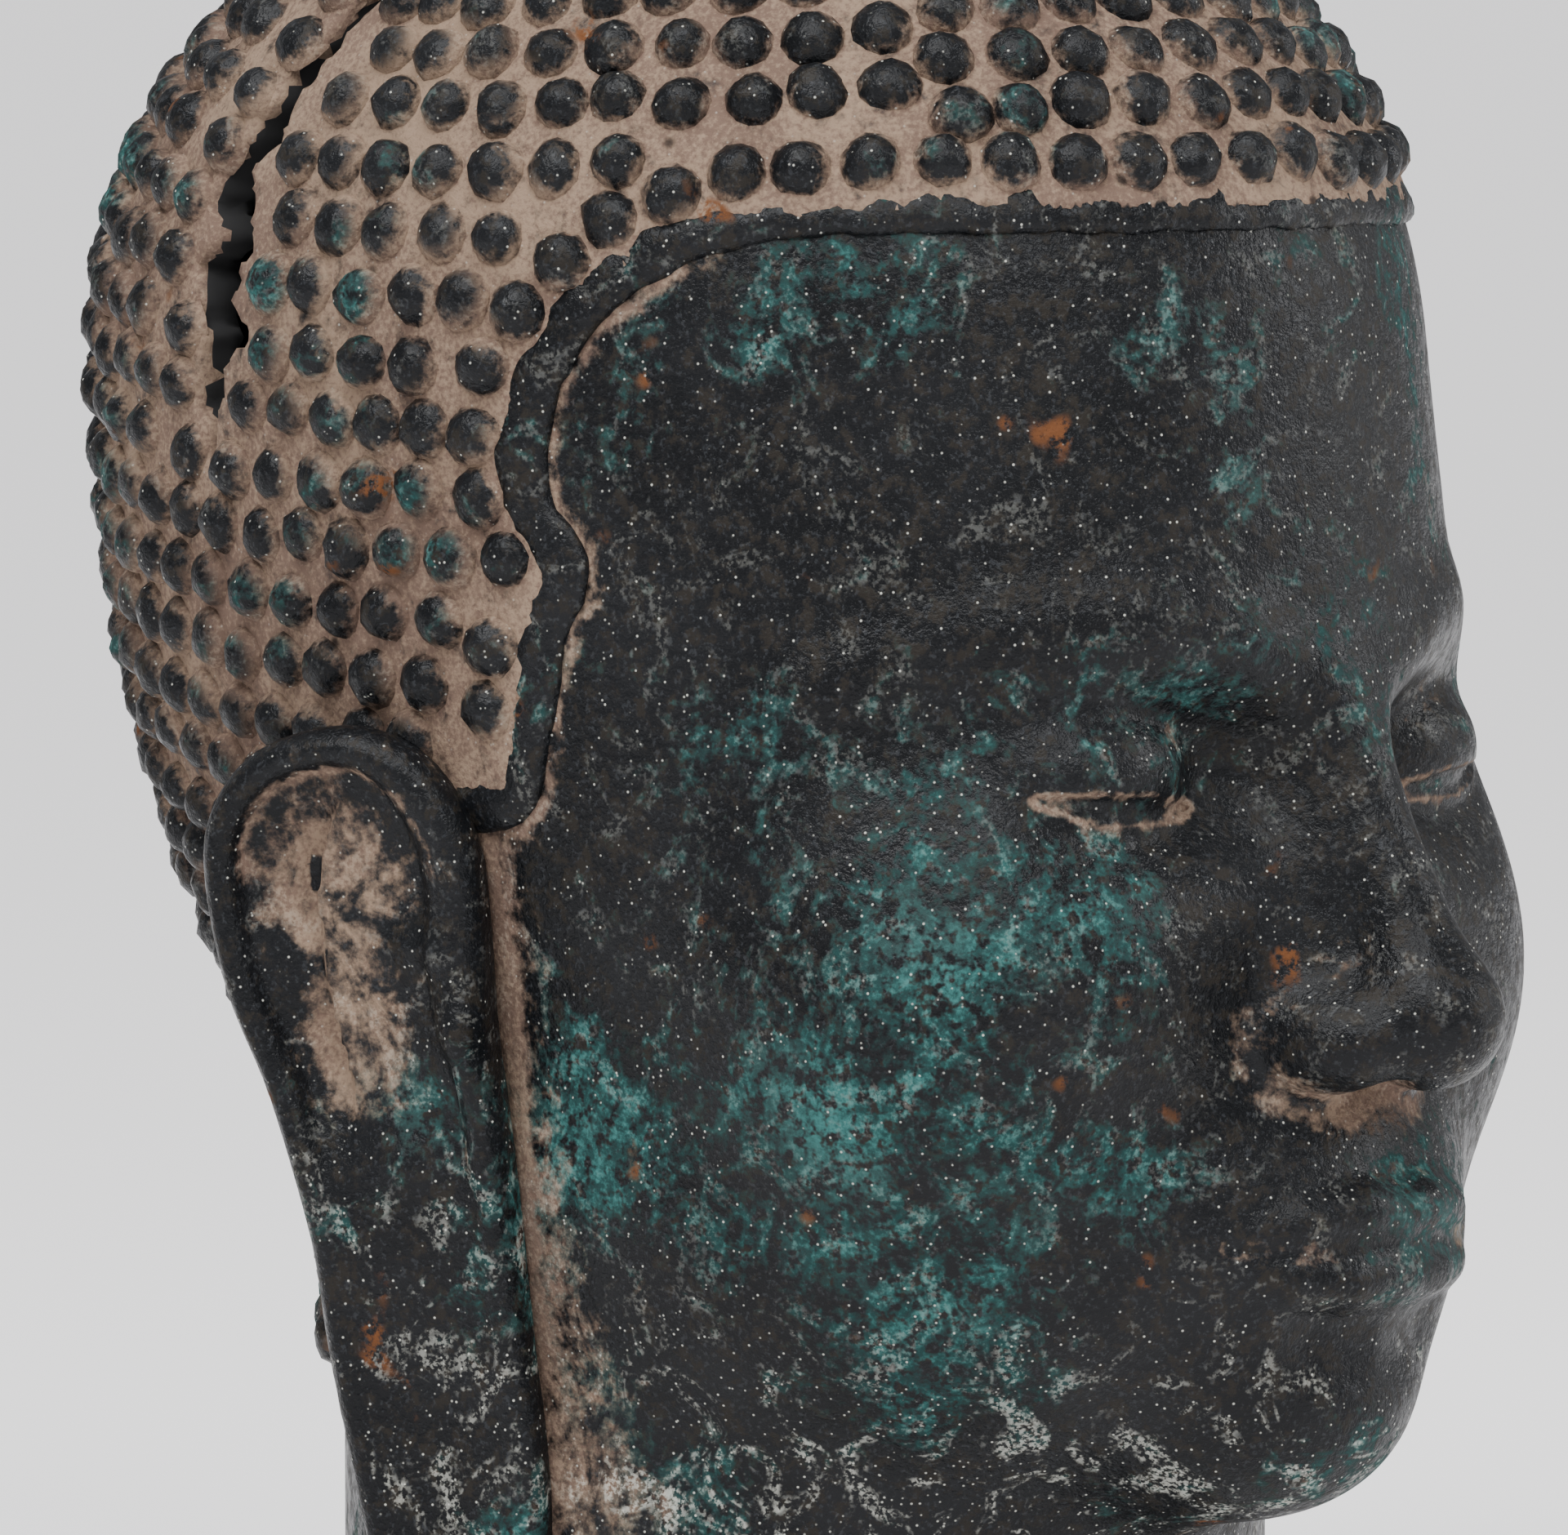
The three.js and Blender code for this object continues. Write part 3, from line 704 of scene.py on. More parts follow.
class Shading:
    """The nodes of one material, with short calls for the patterns and sums that a patina is made of."""

    def __init__(self, name: str) -> None:
        """Starts an empty material whose patterns stay with the object.

        Args:
            name: the material's name.
        """
        self.material = bpy.data.materials.new(name)
        self.material.use_nodes = True
        self.tree = self.material.node_tree
        self.tree.nodes.clear()
        self.place = add_node(self.tree, "ShaderNodeTexCoord").outputs["Object"]

    def attribute(self, name: str) -> bpy.types.NodeSocket:
        """Reads what the mesh holds at each vertex.

        Args:
            name: the attribute's name.

        Returns:
            Its value.
        """
        return add_node(self.tree, "ShaderNodeAttribute", attribute_name=name).outputs["Fac"]

    def noise(
        self, per_metre: float, detail: float, rough: float, shift: float = 0.0, warp: float = 0.0
    ) -> bpy.types.NodeSocket:
        """Noise in object space.

        Args:
            per_metre: pattern scale.
            detail: octaves.
            rough: weight of the fine octaves.
            shift: offset that makes patterns differ.
            warp: how far the pattern is pulled into streaks.

        Returns:
            The noise's value.
        """
        offset = (shift, 1.7 * shift, -shift)
        moved = add_node(self.tree, "ShaderNodeVectorMath", {0: self.place, 1: offset}).outputs[0]
        inputs = {"Vector": moved, "Scale": per_metre, "Detail": detail, "Roughness": rough}
        inputs["Distortion"] = warp
        return add_node(self.tree, "ShaderNodeTexNoise", inputs).outputs["Fac"]

    def cells(self, per_metre: float) -> tuple[bpy.types.NodeSocket, ...]:
        """Scattered round cells, each with its own luck.

        Args:
            per_metre: pattern scale.

        Returns:
            Distance from the nearest cell's middle, and three random values of that cell.
        """
        inputs = {"Vector": self.place, "Scale": per_metre}
        found = add_node(self.tree, "ShaderNodeTexVoronoi", inputs, feature="F1").outputs
        luck = add_node(self.tree, "ShaderNodeSeparateColor", {0: found["Color"]}).outputs
        return found["Distance"], luck[0], luck[1], luck[2]

    def band(self, value: bpy.types.NodeSocket, low: float, high: float) -> bpy.types.NodeSocket:
        """Smooth rise of a value from 0 to 1.

        Args:
            value: the value.
            low: what becomes 0.
            high: what becomes 1.

        Returns:
            The mapped value.
        """
        inputs = {"Value": value, "From Min": low, "From Max": high}
        mapped = add_node(self.tree, "ShaderNodeMapRange", inputs, interpolation_type="SMOOTHSTEP")
        return mapped.outputs["Result"]

    def maths(self, kind: str, a: object, b: object) -> bpy.types.NodeSocket:
        """Combines two values and keeps the result within 0 and 1.

        Args:
            kind: the operation.
            a, b: sockets or numbers.

        Returns:
            The result.
        """
        return add_node(self.tree, "ShaderNodeMath", {0: a, 1: b}, operation=kind, use_clamp=True).outputs[0]

    def weighted(self, *terms: tuple[bpy.types.NodeSocket, float]) -> bpy.types.NodeSocket:
        """Sum of values, each times its weight.

        Args:
            *terms: values with their weights.

        Returns:
            The sum.
        """
        total, *others = (self.maths("MULTIPLY", value, weight) for value, weight in terms)
        for other in others:
            total = self.maths("ADD", total, other)
        return total

    def mix(self, share: object, a: object, b: object) -> bpy.types.NodeSocket:
        """Mixes two colours.

        Args:
            share: how much of b.
            a, b: colours or sockets.

        Returns:
            The mixed colour.
        """
        return add_node(self.tree, "ShaderNodeMix", {0: share, 6: a, 7: b}, data_type="RGBA").outputs[2]


@dataclass(frozen=True)
class PatinaFinish:
    """Colours and amounts of the old bronze surface."""

    bronze_dark: str = "#0b0c0e"
    bronze_light: str = "#131416"
    bronze_brown: str = "#211d18"
    bronze_grey: str = "#2b2d30"
    verdigris: str = "#1b3837"
    verdigris_bright: str = "#386a67"
    verdigris_grey: str = "#2f4644"
    earth: str = "#625046"
    earth_light: str = "#7f6c5c"
    speck: str = "#b9b9b0"
    rust: str = "#583721"
    # painted shade of the cast pits
    pit_shade: str = "#0c0c0e"
    verdigris_amount: float = 0.8
    roughness: float = 0.3
    dry_roughness: float = 0.92
    specular: float = 0.12
    bump_strength: float = 0.55
    bump_depth: float = 0.0012  # metres


class PatinaMaterial:
    """Old cast bronze as one procedural material.

    What the eye meets is a near-black, slightly glossy skin; dry green corrosion in cloudy patches with a
    fine broken edge; tan earth held in the hollows; sparse orange rust; pale mineral specks; and black dots
    of painted shade for cast pits.
    The meshes say where: earth gathers where `dust` is high and `lift` is low, corrosion where `green` is
    high, and bloom where `pale` is.
    """

    def __init__(self, finish: PatinaFinish) -> None:
        """Keeps the finish and lays out the patterns that several layers share.

        Args:
            finish: colours and amounts.
        """
        self.finish = finish
        self.nodes = Shading("patinated bronze")
        self.pale = self.nodes.attribute("pale")
        self.cloud = self.nodes.noise(45, 3, 0.6)  # patches of about 20 mm
        self.fine = self.nodes.noise(420, 4, 0.7, 3.1)  # breakup of about 2 mm
        self.grain = self.nodes.noise(1500, 2, 0.65, 7.3)  # cast grain under 1 mm
        self.veins = self.nodes.noise(115, 3, 0.65, 13.0, 1.6)  # streaks that join patches

    def bare_bronze(self) -> bpy.types.NodeSocket:
        """The near-black skin, browner and greyer in fine breakups.

        Returns:
            Its colour.
        """
        nodes, finish = self.nodes, self.finish
        share = nodes.band(self.cloud, 0.35, 0.65)
        skin = nodes.mix(share, colour(finish.bronze_dark), colour(finish.bronze_light))
        brown = nodes.maths("MULTIPLY", nodes.band(self.fine, 0.5, 0.62), 0.7)
        grey = nodes.maths("MULTIPLY", nodes.band(self.grain, 0.54, 0.7), 0.6)
        skin = nodes.mix(brown, skin, colour(finish.bronze_brown))
        return nodes.mix(grey, skin, colour(finish.bronze_grey))

    def corrosion(self) -> tuple[bpy.types.NodeSocket, bpy.types.NodeSocket]:
        """Dry green in cloudy patches with a crumbled edge, brightest in their middle.

        Returns:
            Its amount and its colour.
        """
        nodes, finish = self.nodes, self.finish
        broken = nodes.weighted((nodes.noise(30, 2, 0.6, 11.0), 0.5), (self.veins, 0.3), (self.fine, 0.2))
        reach = nodes.maths("ADD", broken, nodes.maths("MULTIPLY", nodes.attribute("green"), 0.07))
        crumbled = nodes.band(nodes.noise(620, 2, 0.7, 15.0), 0.38, 0.56)
        amount = nodes.maths("MULTIPLY", nodes.band(reach, 0.56, 0.625), crumbled)
        amount = nodes.maths("MULTIPLY", amount, finish.verdigris_amount)
        middle = nodes.maths("ADD", reach, nodes.maths("MULTIPLY", self.grain, 0.2))
        bright = nodes.band(middle, 0.7, 0.82)
        hue = nodes.mix(bright, colour(finish.verdigris), colour(finish.verdigris_bright))
        grey = nodes.maths("MULTIPLY", nodes.band(self.cloud, 0.48, 0.62), 0.5)
        return amount, nodes.mix(grey, hue, colour(finish.verdigris_grey))

    def earth(self) -> tuple[bpy.types.NodeSocket, bpy.types.NodeSocket]:
        """Crumbly tan earth in the hollows, rubbed off what stands out.

        Returns:
            Its amount and its colour.
        """
        nodes, finish = self.nodes, self.finish
        crumbs = nodes.weighted((self.veins, 0.5), (self.fine, 0.5))
        held = nodes.maths("ADD", nodes.maths("MULTIPLY", nodes.attribute("dust"), 0.62), crumbs)
        level = nodes.maths("SUBTRACT", held, nodes.maths("MULTIPLY", nodes.attribute("lift"), 0.42))
        shade = nodes.band(nodes.weighted((self.grain, 0.5), (self.cloud, 0.5)), 0.4, 0.6)
        soil = nodes.mix(shade, colour(finish.earth), colour(finish.earth_light))
        return nodes.band(level, 0.62, 0.84), soil

    def specks(self, earth: bpy.types.NodeSocket) -> bpy.types.NodeSocket:
        """Pale mineral grains under a millimetre, dimmer where earth lies over them.

        Args:
            earth: amount of earth.

        Returns:
            Their amount.
        """
        nodes = self.nodes
        apart, luck, *_ = nodes.cells(1300.0)
        rare = nodes.band(nodes.maths("ADD", luck, nodes.maths("MULTIPLY", self.pale, 0.2)), 0.8, 0.95)
        grains = nodes.maths("MULTIPLY", rare, nodes.maths("SUBTRACT", 1.0, nodes.band(apart, 0.05, 0.27)))
        seen = nodes.maths("SUBTRACT", 0.85, nodes.maths("MULTIPLY", earth, 0.6))
        return nodes.maths("MULTIPLY", grains, seen)

    def bloom(self) -> bpy.types.NodeSocket:
        """Chalky mineral bloom in streaks, most of it under the jaw.

        Returns:
            Its amount.
        """
        nodes = self.nodes
        chalky = nodes.band(self.grain, 0.44, 0.6)
        streaks = nodes.maths("MULTIPLY", nodes.band(self.veins, 0.52, 0.66), chalky)
        return nodes.maths("MULTIPLY", streaks, nodes.maths("MULTIPLY", self.pale, 0.5))

    def rust(self) -> bpy.types.NodeSocket:
        """A few small orange spots.

        Returns:
            Their amount.
        """
        spots = self.nodes.band(self.nodes.noise(95, 2, 0.5, 31.0), 0.69, 0.76)
        return self.nodes.maths("MULTIPLY", spots, self.nodes.band(self.fine, 0.44, 0.56))

    def pit_shade_dots(self) -> bpy.types.NodeSocket:
        """Scattered black dots of about a millimetre: painted shade for casting pits, which the mesh does not
        have.

        Returns:
            Their amount.
        """
        nodes = self.nodes
        apart, _, luck, _ = nodes.cells(260.0)
        few = nodes.band(luck, 0.93, 0.95)
        return nodes.maths("MULTIPLY", few, nodes.maths("SUBTRACT", 1.0, nodes.band(apart, 0.12, 0.3)))

    def build(self) -> bpy.types.Material:
        """Lays the layers over each other.

        Returns:
            The material.
        """
        nodes, finish = self.nodes, self.finish
        green, green_colour = self.corrosion()
        earth, earth_colour = self.earth()
        rust = self.rust()
        surface = nodes.mix(green, self.bare_bronze(), green_colour)
        surface = nodes.mix(nodes.maths("MULTIPLY", earth, 0.92), surface, earth_colour)
        surface = nodes.mix(self.specks(earth), surface, colour(finish.speck))
        surface = nodes.mix(self.bloom(), surface, colour(finish.speck))
        surface = nodes.mix(rust, surface, colour(finish.rust))
        # black dots of painted shade for cast pits, which have no depth
        surface = nodes.mix(nodes.maths("MULTIPLY", self.pit_shade_dots(), 0.8), surface, colour(finish.pit_shade))

        # Corrosion, earth and rust are dry and matt; the bare skin keeps a soft, uneven gloss.
        dry = nodes.maths("MAXIMUM", green, nodes.maths("MAXIMUM", earth, rust))
        worn = nodes.maths("ADD", dry, nodes.maths("MULTIPLY", nodes.band(self.fine, 0.4, 0.65), 0.35))
        ends = {"Value": worn, "To Min": finish.roughness, "To Max": finish.dry_roughness}
        rough = add_node(nodes.tree, "ShaderNodeMapRange", ends).outputs["Result"]
        relief = {
            "Height": nodes.weighted((self.fine, 0.55), (self.grain, 0.2)),
            "Strength": finish.bump_strength,
            "Distance": finish.bump_depth,
        }
        inputs = {
            "Base Color": surface,
            "Roughness": rough,
            "Specular IOR Level": finish.specular,
            "Normal": add_node(nodes.tree, "ShaderNodeBump", relief).outputs["Normal"],
        }
        shader = add_node(nodes.tree, "ShaderNodeBsdfPrincipled", inputs)
        add_node(nodes.tree, "ShaderNodeOutputMaterial", {"Surface": shader.outputs["BSDF"]})
        return nodes.material


# Sub-assemblies


@dataclass
class CastShell:
    """Hollow shell of the head, with the crack through its wall and the flat cut neck."""

    bronze: bpy.types.Material
    # flat black of painted shade for the unlit hollow and crack
    inside_shade: bpy.types.Material
    ears: list["Ear"]
    fine: float = 0.42  # grid step over the face, in parts
    middle: float = 0.55  # and beside the crack
    coarse: float = 0.95  # and elsewhere
    rim: float = 0.25  # what lies this near the neck's cut belongs to it
    face_limit: int = 185_000
    hollows: tuple[tuple[float, float], ...] = (  # how far out from the skin room is looked for, and weight
        (0.8, 0.35),
        (1.6, 0.35),
        (3.0, 0.4),
        (6.0, 0.3),
    )
    hair_dust: float = 0.57

    def axes(self) -> tuple[np.ndarray, ...]:
        """Grid planes, closer over the carved face and the crack.

        Returns:
            Coordinates along x, y and z in parts.
        """
        fine, middle, coarse = self.fine, self.middle, self.coarse
        half = planes((0, fine), (21, coarse), end=38)
        x = np.concatenate([-half[:0:-1], half])
        y = planes((-56, fine), (-34, coarse), (3, middle), (20, coarse), end=47)
        foot = [-NECK - coarse, -NECK - 0.12, -NECK + 0.12]  # thin cells, so the cut's edge stays sharp
        above = planes((-NECK + 0.8, coarse), (8, fine), (54, coarse), (58, middle), (93, coarse), end=122)
        return tuple(axis.astype(np.float32) for axis in (x, y, np.concatenate([foot, above])))

    def distance(self, points: np.ndarray) -> np.ndarray:
        """Signed distance to the bronze.

        Args:
            points: coordinates in parts, shape (n, 3).

        Returns:
            Distances in parts.
        """
        skull = form_distance(SKULL, points)
        near = np.abs(skull) < 12
        skin = skull.copy()
        skin[near] = form_distance(SKULL + FACE, points[near])
        beside = np.zeros_like(skin)
        beside[near] = crack_settling(points[near])
        lifted = skin - HAIR_LIFT * in_hair(points) + beside
        across, half = crack_offset(points)
        crack = np.maximum(np.abs(across) - half, 0.6 * (CRACK_FOOT - points[:, 2]))
        crack = np.where(azimuth_of(points) > CRACK_SIDE, crack, 50.0)
        cavity = -smooth_min(-(skull + WALL), -(skin + 0.75 * WALL), 1.5)
        shell = np.maximum(lifted, -cavity)
        shell = np.maximum(shell, -crack)
        return np.maximum(shell, -(points[:, 2] + NECK))

    def settle(self, vertices: np.ndarray) -> np.ndarray:
        """Slides the net's vertices onto the true surface, so thin edges such as the crack's run smoothly.

        The neck's cut gets an even rim: its outer vertices go onto the skull.

        Args:
            vertices: coordinates in parts, shape (n, 3).

        Returns:
            The moved coordinates.
        """
        moved = vertices.astype(np.float32)
        nudge = 0.12
        steps = np.eye(3, dtype=np.float32) * nudge
        for _ in range(2):
            here = self.distance(moved)
            rises = [self.distance(moved + step) - self.distance(moved - step) for step in steps]
            slope = np.stack(rises, axis=1) / (2 * nudge)
            pull = slope * (here / np.maximum((slope * slope).sum(axis=1), 0.25))[:, None]
            moved -= np.clip(pull, -0.4, 0.4)
        rim = (np.abs(moved[:, 2] + NECK) < self.rim) & (form_distance(SKULL, moved) > -0.7)
        moved[rim] -= outward(SKULL, moved[rim]) * form_distance(SKULL, moved[rim])[:, None]
        return moved

    @staticmethod
    def beside_hairline(points: np.ndarray) -> np.ndarray:
        """Nearness to the groove along the inner side of the hairline band.

        Args:
            points: coordinates in parts, shape (n, 3).

        Returns:
            Shares, 1 in the groove and 0 away from it.
        """
        line = hairline_path(110)
        edge = around_at(SKULL, line[:, 0], line[:, 1])
        right = on_right(points)
        near = np.zeros(len(points))
        close = (points[:, 2] > 36) & (points[:, 2] < 80) & (form_distance(SKULL, points) > -1)
        gap = np.full(int(close.sum()), 9.0)
        for spot in edge:
            gap = np.minimum(gap, np.linalg.norm(right[close] - spot, axis=1))
        near[close] = np.exp(-(((gap - 1.7) / 0.75) ** 2))
        return near

    def net(self) -> tuple[np.ndarray, np.ndarray]:
        """Samples the distance, one slab of the grid after another, and wraps its surface.

        Returns:
            Vertices in parts, and quads.
        """
        x, y, z = self.axes()
        values = np.empty((len(x), len(y), len(z)), dtype=np.float32)
        gy, gz = np.meshgrid(y, z, indexing="ij")
        for i, here in enumerate(x):
            slab = np.stack([np.full(gy.size, here, dtype=np.float32), gy.ravel(), gz.ravel()], axis=1)
            values[i] = self.distance(slab).reshape(gy.shape)
        vertices, quads = surface_net((x, y, z), values)
        return self.settle(vertices), quads

    def from_ears(self, points: np.ndarray) -> np.ndarray:
        """Rough distance to the nearer ear.

        Args:
            points: coordinates in parts, shape (n, 3).

        Returns:
            Distances in parts.
        """
        return np.minimum.reduce([ear.distance_from_head(points) for ear in self.ears])

    def earth_held(self, points: np.ndarray) -> np.ndarray:
        """Earth on the bare skin: in hollows and grooves, round the ears and along the hairline band.

        Args:
            points: coordinates in parts, shape (n, 3).

        Returns:
            Amounts from 0 to 1.
        """
        normals = outward(SKULL + FACE, points)
        hollow = np.zeros(len(points))
        for reach, weight in self.hollows:
            ahead = points + normals * reach
            room = np.minimum(form_distance(SKULL + FACE, ahead), self.from_ears(ahead))
            hollow += weight * np.clip(1 - room / reach, 0, 1)
        dust = 0.56 * np.clip((hollow - 0.26) * 1.4, 0, 1)
        spread = 3.2 + 5.5 * smooth_step(-points[:, 2], -28, 6)  # wider under the jaw
        round_ear = 0.4 * np.exp(-((np.maximum(self.from_ears(points), 0) / spread) ** 2))
        carved = np.minimum.reduce([groove.distance(*folded(points)) for groove in GROOVES])
        groove_edge = 0.5 * np.exp(-((carved / 0.3) ** 2) - (form_distance(UNGROOVED, points) / 0.22) ** 2)
        along_band = self.beside_hairline(points) * smooth_step(np.abs(azimuth_of(points)), 48, 60) * 0.5
        return np.maximum.reduce([dust, round_ear, groove_edge, along_band])

    def in_painted_shade(self, points: np.ndarray) -> np.ndarray:
        """Tells which vertices lie in the hollow or in the crack, whose faces get flat black as painted
        shade.

        Args:
            points: coordinates in parts, shape (n, 3).

        Returns:
            Booleans, shape (n,).
        """
        skull = form_distance(SKULL, points)
        inner = (skull < -0.85 * WALL) & (form_distance(SKULL + FACE, points) < -0.5)
        across, half = crack_offset(points)
        inner |= (np.abs(across) < half + 0.5) & (skull < -0.2) & (azimuth_of(points) > CRACK_SIDE)
        return inner & (points[:, 2] > -NECK + 0.3)

    def build(self, collection: bpy.types.Collection) -> bpy.types.Object:
        """Makes the shell.

        Args:
            collection: where the piece goes.

        Returns:
            The piece.
        """
        piece = add_piece("bronze_head_shell", *self.net(), collection)
        points, faces = self.thin(piece)
        points[:, 2] = np.where(np.abs(points[:, 2] + NECK) < self.rim, -NECK, points[:, 2])
        piece.data.vertices.foreach_set("co", to_metres(points).astype(np.float32).ravel())
        piece.data.update()
        hair = in_hair(points)
        jaw = smooth_step(-points[:, 2], -16, -4) * smooth_step(-points[:, 1], -4, 16)
        store(piece.data, "dust", np.where(hair, self.hair_dust, self.earth_held(points)))
        store(piece.data, "lift", np.zeros(len(points)))
        store(piece.data, "pale", (0.15 + 0.85 * jaw) * ~hair)
        store(piece.data, "green", np.clip(0.5 - points[:, 0] / 70 + points[:, 2] / 400, 0, 1) * ~hair)
        piece.data.materials.append(self.bronze)
        # the hollow and the crack are painted black: painted shade for the unlit inside
        piece.data.materials.append(self.inside_shade)
        slots = self.in_painted_shade(points)[faces].all(axis=1).astype(np.int32)
        piece.data.polygons.foreach_set("material_index", slots)
        return piece

    def thin(self, piece: bpy.types.Object) -> tuple[np.ndarray, np.ndarray]:
        """Joins faces that lie nearly flat until the piece is light enough.

        Args:
            piece: the piece, whose mesh is replaced.

        Returns:
            The vertices as the mesh has them, and the three corners of every face.
        """
        full = piece.data
        modifier = piece.modifiers.new("Fewer Faces", "DECIMATE")
        modifier.ratio = self.face_limit / (2 * len(full.polygons))
        modifier.use_collapse_triangulate = True
        thinned = piece.evaluated_get(bpy.context.evaluated_depsgraph_get())
        piece.data = bpy.data.meshes.new_from_object(thinned)
        piece.modifiers.remove(modifier)
        bpy.data.meshes.remove(full)
        piece.data.name = piece.name
        points = np.empty(3 * len(piece.data.vertices), dtype=np.float32)
        piece.data.vertices.foreach_get("co", points)
        corners = np.empty(len(piece.data.loops), dtype=np.int32)
        piece.data.loops.foreach_get("vertex_index", corners)
        return points.reshape(-1, 3), corners.reshape(-1, 3)


@dataclass
class HairCurls:
    """Rows of small round curls, one row along the hairline and the others round the mound."""

    bronze: bpy.types.Material
    pitch: float = 3.72  # curl to curl in parts
    row_pitch: float = 3.55
    diameter: float = 3.75
    height: float = 1.85
    band_width: float = 2.0
    sink: float = 0.62  # how far a curl's middle lies under the ground between the curls
    jitter: float = 0.16
    unevenness: float = 0.08
    lumpiness: float = 0.0013  # metres
    waves: tuple[tuple[tuple[float, float, float], float], ...] = (  # slow waves that make some curls dustier
        ((0.31, 0.17, 0.42), 0.4),
        ((-0.23, 0.47, 0.11), 2.1),
        ((0.53, -0.29, 0.37), 4.0),
        ((0.9, 1.1, -0.8), 1.3),
    )

    def front_row(self, edge: np.ndarray) -> np.ndarray:
        """Places of the curls along the hairline, on both sides.

        Args:
            edge: the hairline on the skull's right side, shape (n, 3).

        Returns:
            Points in parts, shape (m, 3).
        """
        across = np.cross(np.gradient(edge, axis=0), outward(SKULL, edge))
        across /= np.linalg.norm(across, axis=1, keepdims=True)
        beside = edge + across * (self.band_width + self.pitch) / 2
        row = at_lengths(beside, np.arange(0, run_length(beside)[-1], self.pitch))
        return self.project(self.singly(np.vstack([row, row[1:] * [-1, 1, 1]]), 0.82))

    def rings(self, count: int = 144) -> np.ndarray:
        """Places of the curls in rings round the mound, half a pitch further in every other ring.

        Args:
            count: number of lines that run down the head from its top, on which the rings are laid out.

        Returns:
            Points in parts, shape (n, 3).
        """
        rises = np.radians(np.arange(90, -60, -0.5))
        turns = np.radians(np.arange(count) * 360 / count)
        level, rise = np.cos(rises), np.sin(rises)
        shares = ((-np.sin(turns), level), (-np.cos(turns), level), (np.ones(count), rise))
        headings = np.stack([np.outer(turn, share).ravel() for turn, share in shares], axis=1)
        starts = np.tile(HAIR_CENTRE, (len(headings), 1))
        lines = cast_rays(SKULL, starts, headings).reshape(count, len(rises), 3)
        down = np.arange(int(min(run_length(line)[-1] for line in lines) / self.row_pitch)) * self.row_pitch
        net = np.stack([at_lengths(line, down) for line in lines], axis=1)
        feet = []
        for number, ring in enumerate(net):
            loop = np.vstack([ring, ring[:1]])
            girth = run_length(loop)[-1]
            amount = max(round(girth / self.pitch), 1)
            feet.append(at_lengths(loop, (np.arange(amount) + (number % 2) / 2) * girth / amount))
        return self.project(np.vstack(feet))

    def feet(self) -> np.ndarray:
        """Places of the curls on the skull: the row along the hairline first, then the rings, evened out.

        Returns:
            Points in parts, shape (n, 3).
        """
        line = hairline_path(220)
        edge = around_at(SKULL, line[:, 0], line[:, 1])
        row, feet = self.front_row(edge), self.rings()
        from_edge = np.min(np.linalg.norm(on_right(feet)[:, None] - edge[None, ::3], axis=2), axis=1)
        from_row = np.min(np.linalg.norm(feet[:, None] - row[None], axis=2), axis=1)
        clear = (from_edge > (self.band_width + 1.9 * self.pitch) / 2) & (from_row > 0.5 * self.pitch)
        feet = np.vstack([row, feet[in_hair(feet) & clear]])
        for _ in range(14):
            gaps = feet[:, None] - feet[None]
            apart = np.linalg.norm(gaps, axis=2)
            push = np.clip(self.pitch * 1.02 - apart, 0, None) * (apart > 0)
            move = (gaps / np.maximum(apart, 1e-6)[..., None] * push[..., None]).sum(axis=1) * 0.28
            move[: len(row)] = 0
            feet = self.project(feet + move)
        return feet

    def singly(self, points: np.ndarray, share: float) -> np.ndarray:
        """Leaves out curls that would stand in another one, at bends of the hairline and beside the crack.

        Args:
            points: places of the curls, shape (n, 3).
            share: least distance between two of them, as a share of the pitch.

        Returns:
            The places that stay, in the same order.
        """
        kept: list[np.ndarray] = []
        for point in points:
            if not kept or np.linalg.norm(np.array(kept) - point, axis=1).min() > share * self.pitch:
                kept.append(point)
        return np.array(kept)

    @staticmethod
    def backward(points: np.ndarray) -> np.ndarray:
        """Level directions that run backwards round the right side of the head.

        Args:
            points: coordinates in parts, shape (n, 3).

        Returns:
            Unit vectors, shape (n, 3).
        """
        turn = np.radians(azimuth_of(points))
        return np.stack([-np.cos(turn), np.sin(turn), 0 * turn], axis=1)

    @staticmethod
    def project(points: np.ndarray) -> np.ndarray:
        """Brings points onto the skull along rays from the hair's centre.

        Args:
            points: coordinates in parts, shape (n, 3).

        Returns:
            Points on the skull.
        """
        heading = points - HAIR_CENTRE
        heading /= np.linalg.norm(heading, axis=1, keepdims=True)
        return cast_rays(SKULL, np.tile(HAIR_CENTRE, (len(points), 1)), heading)

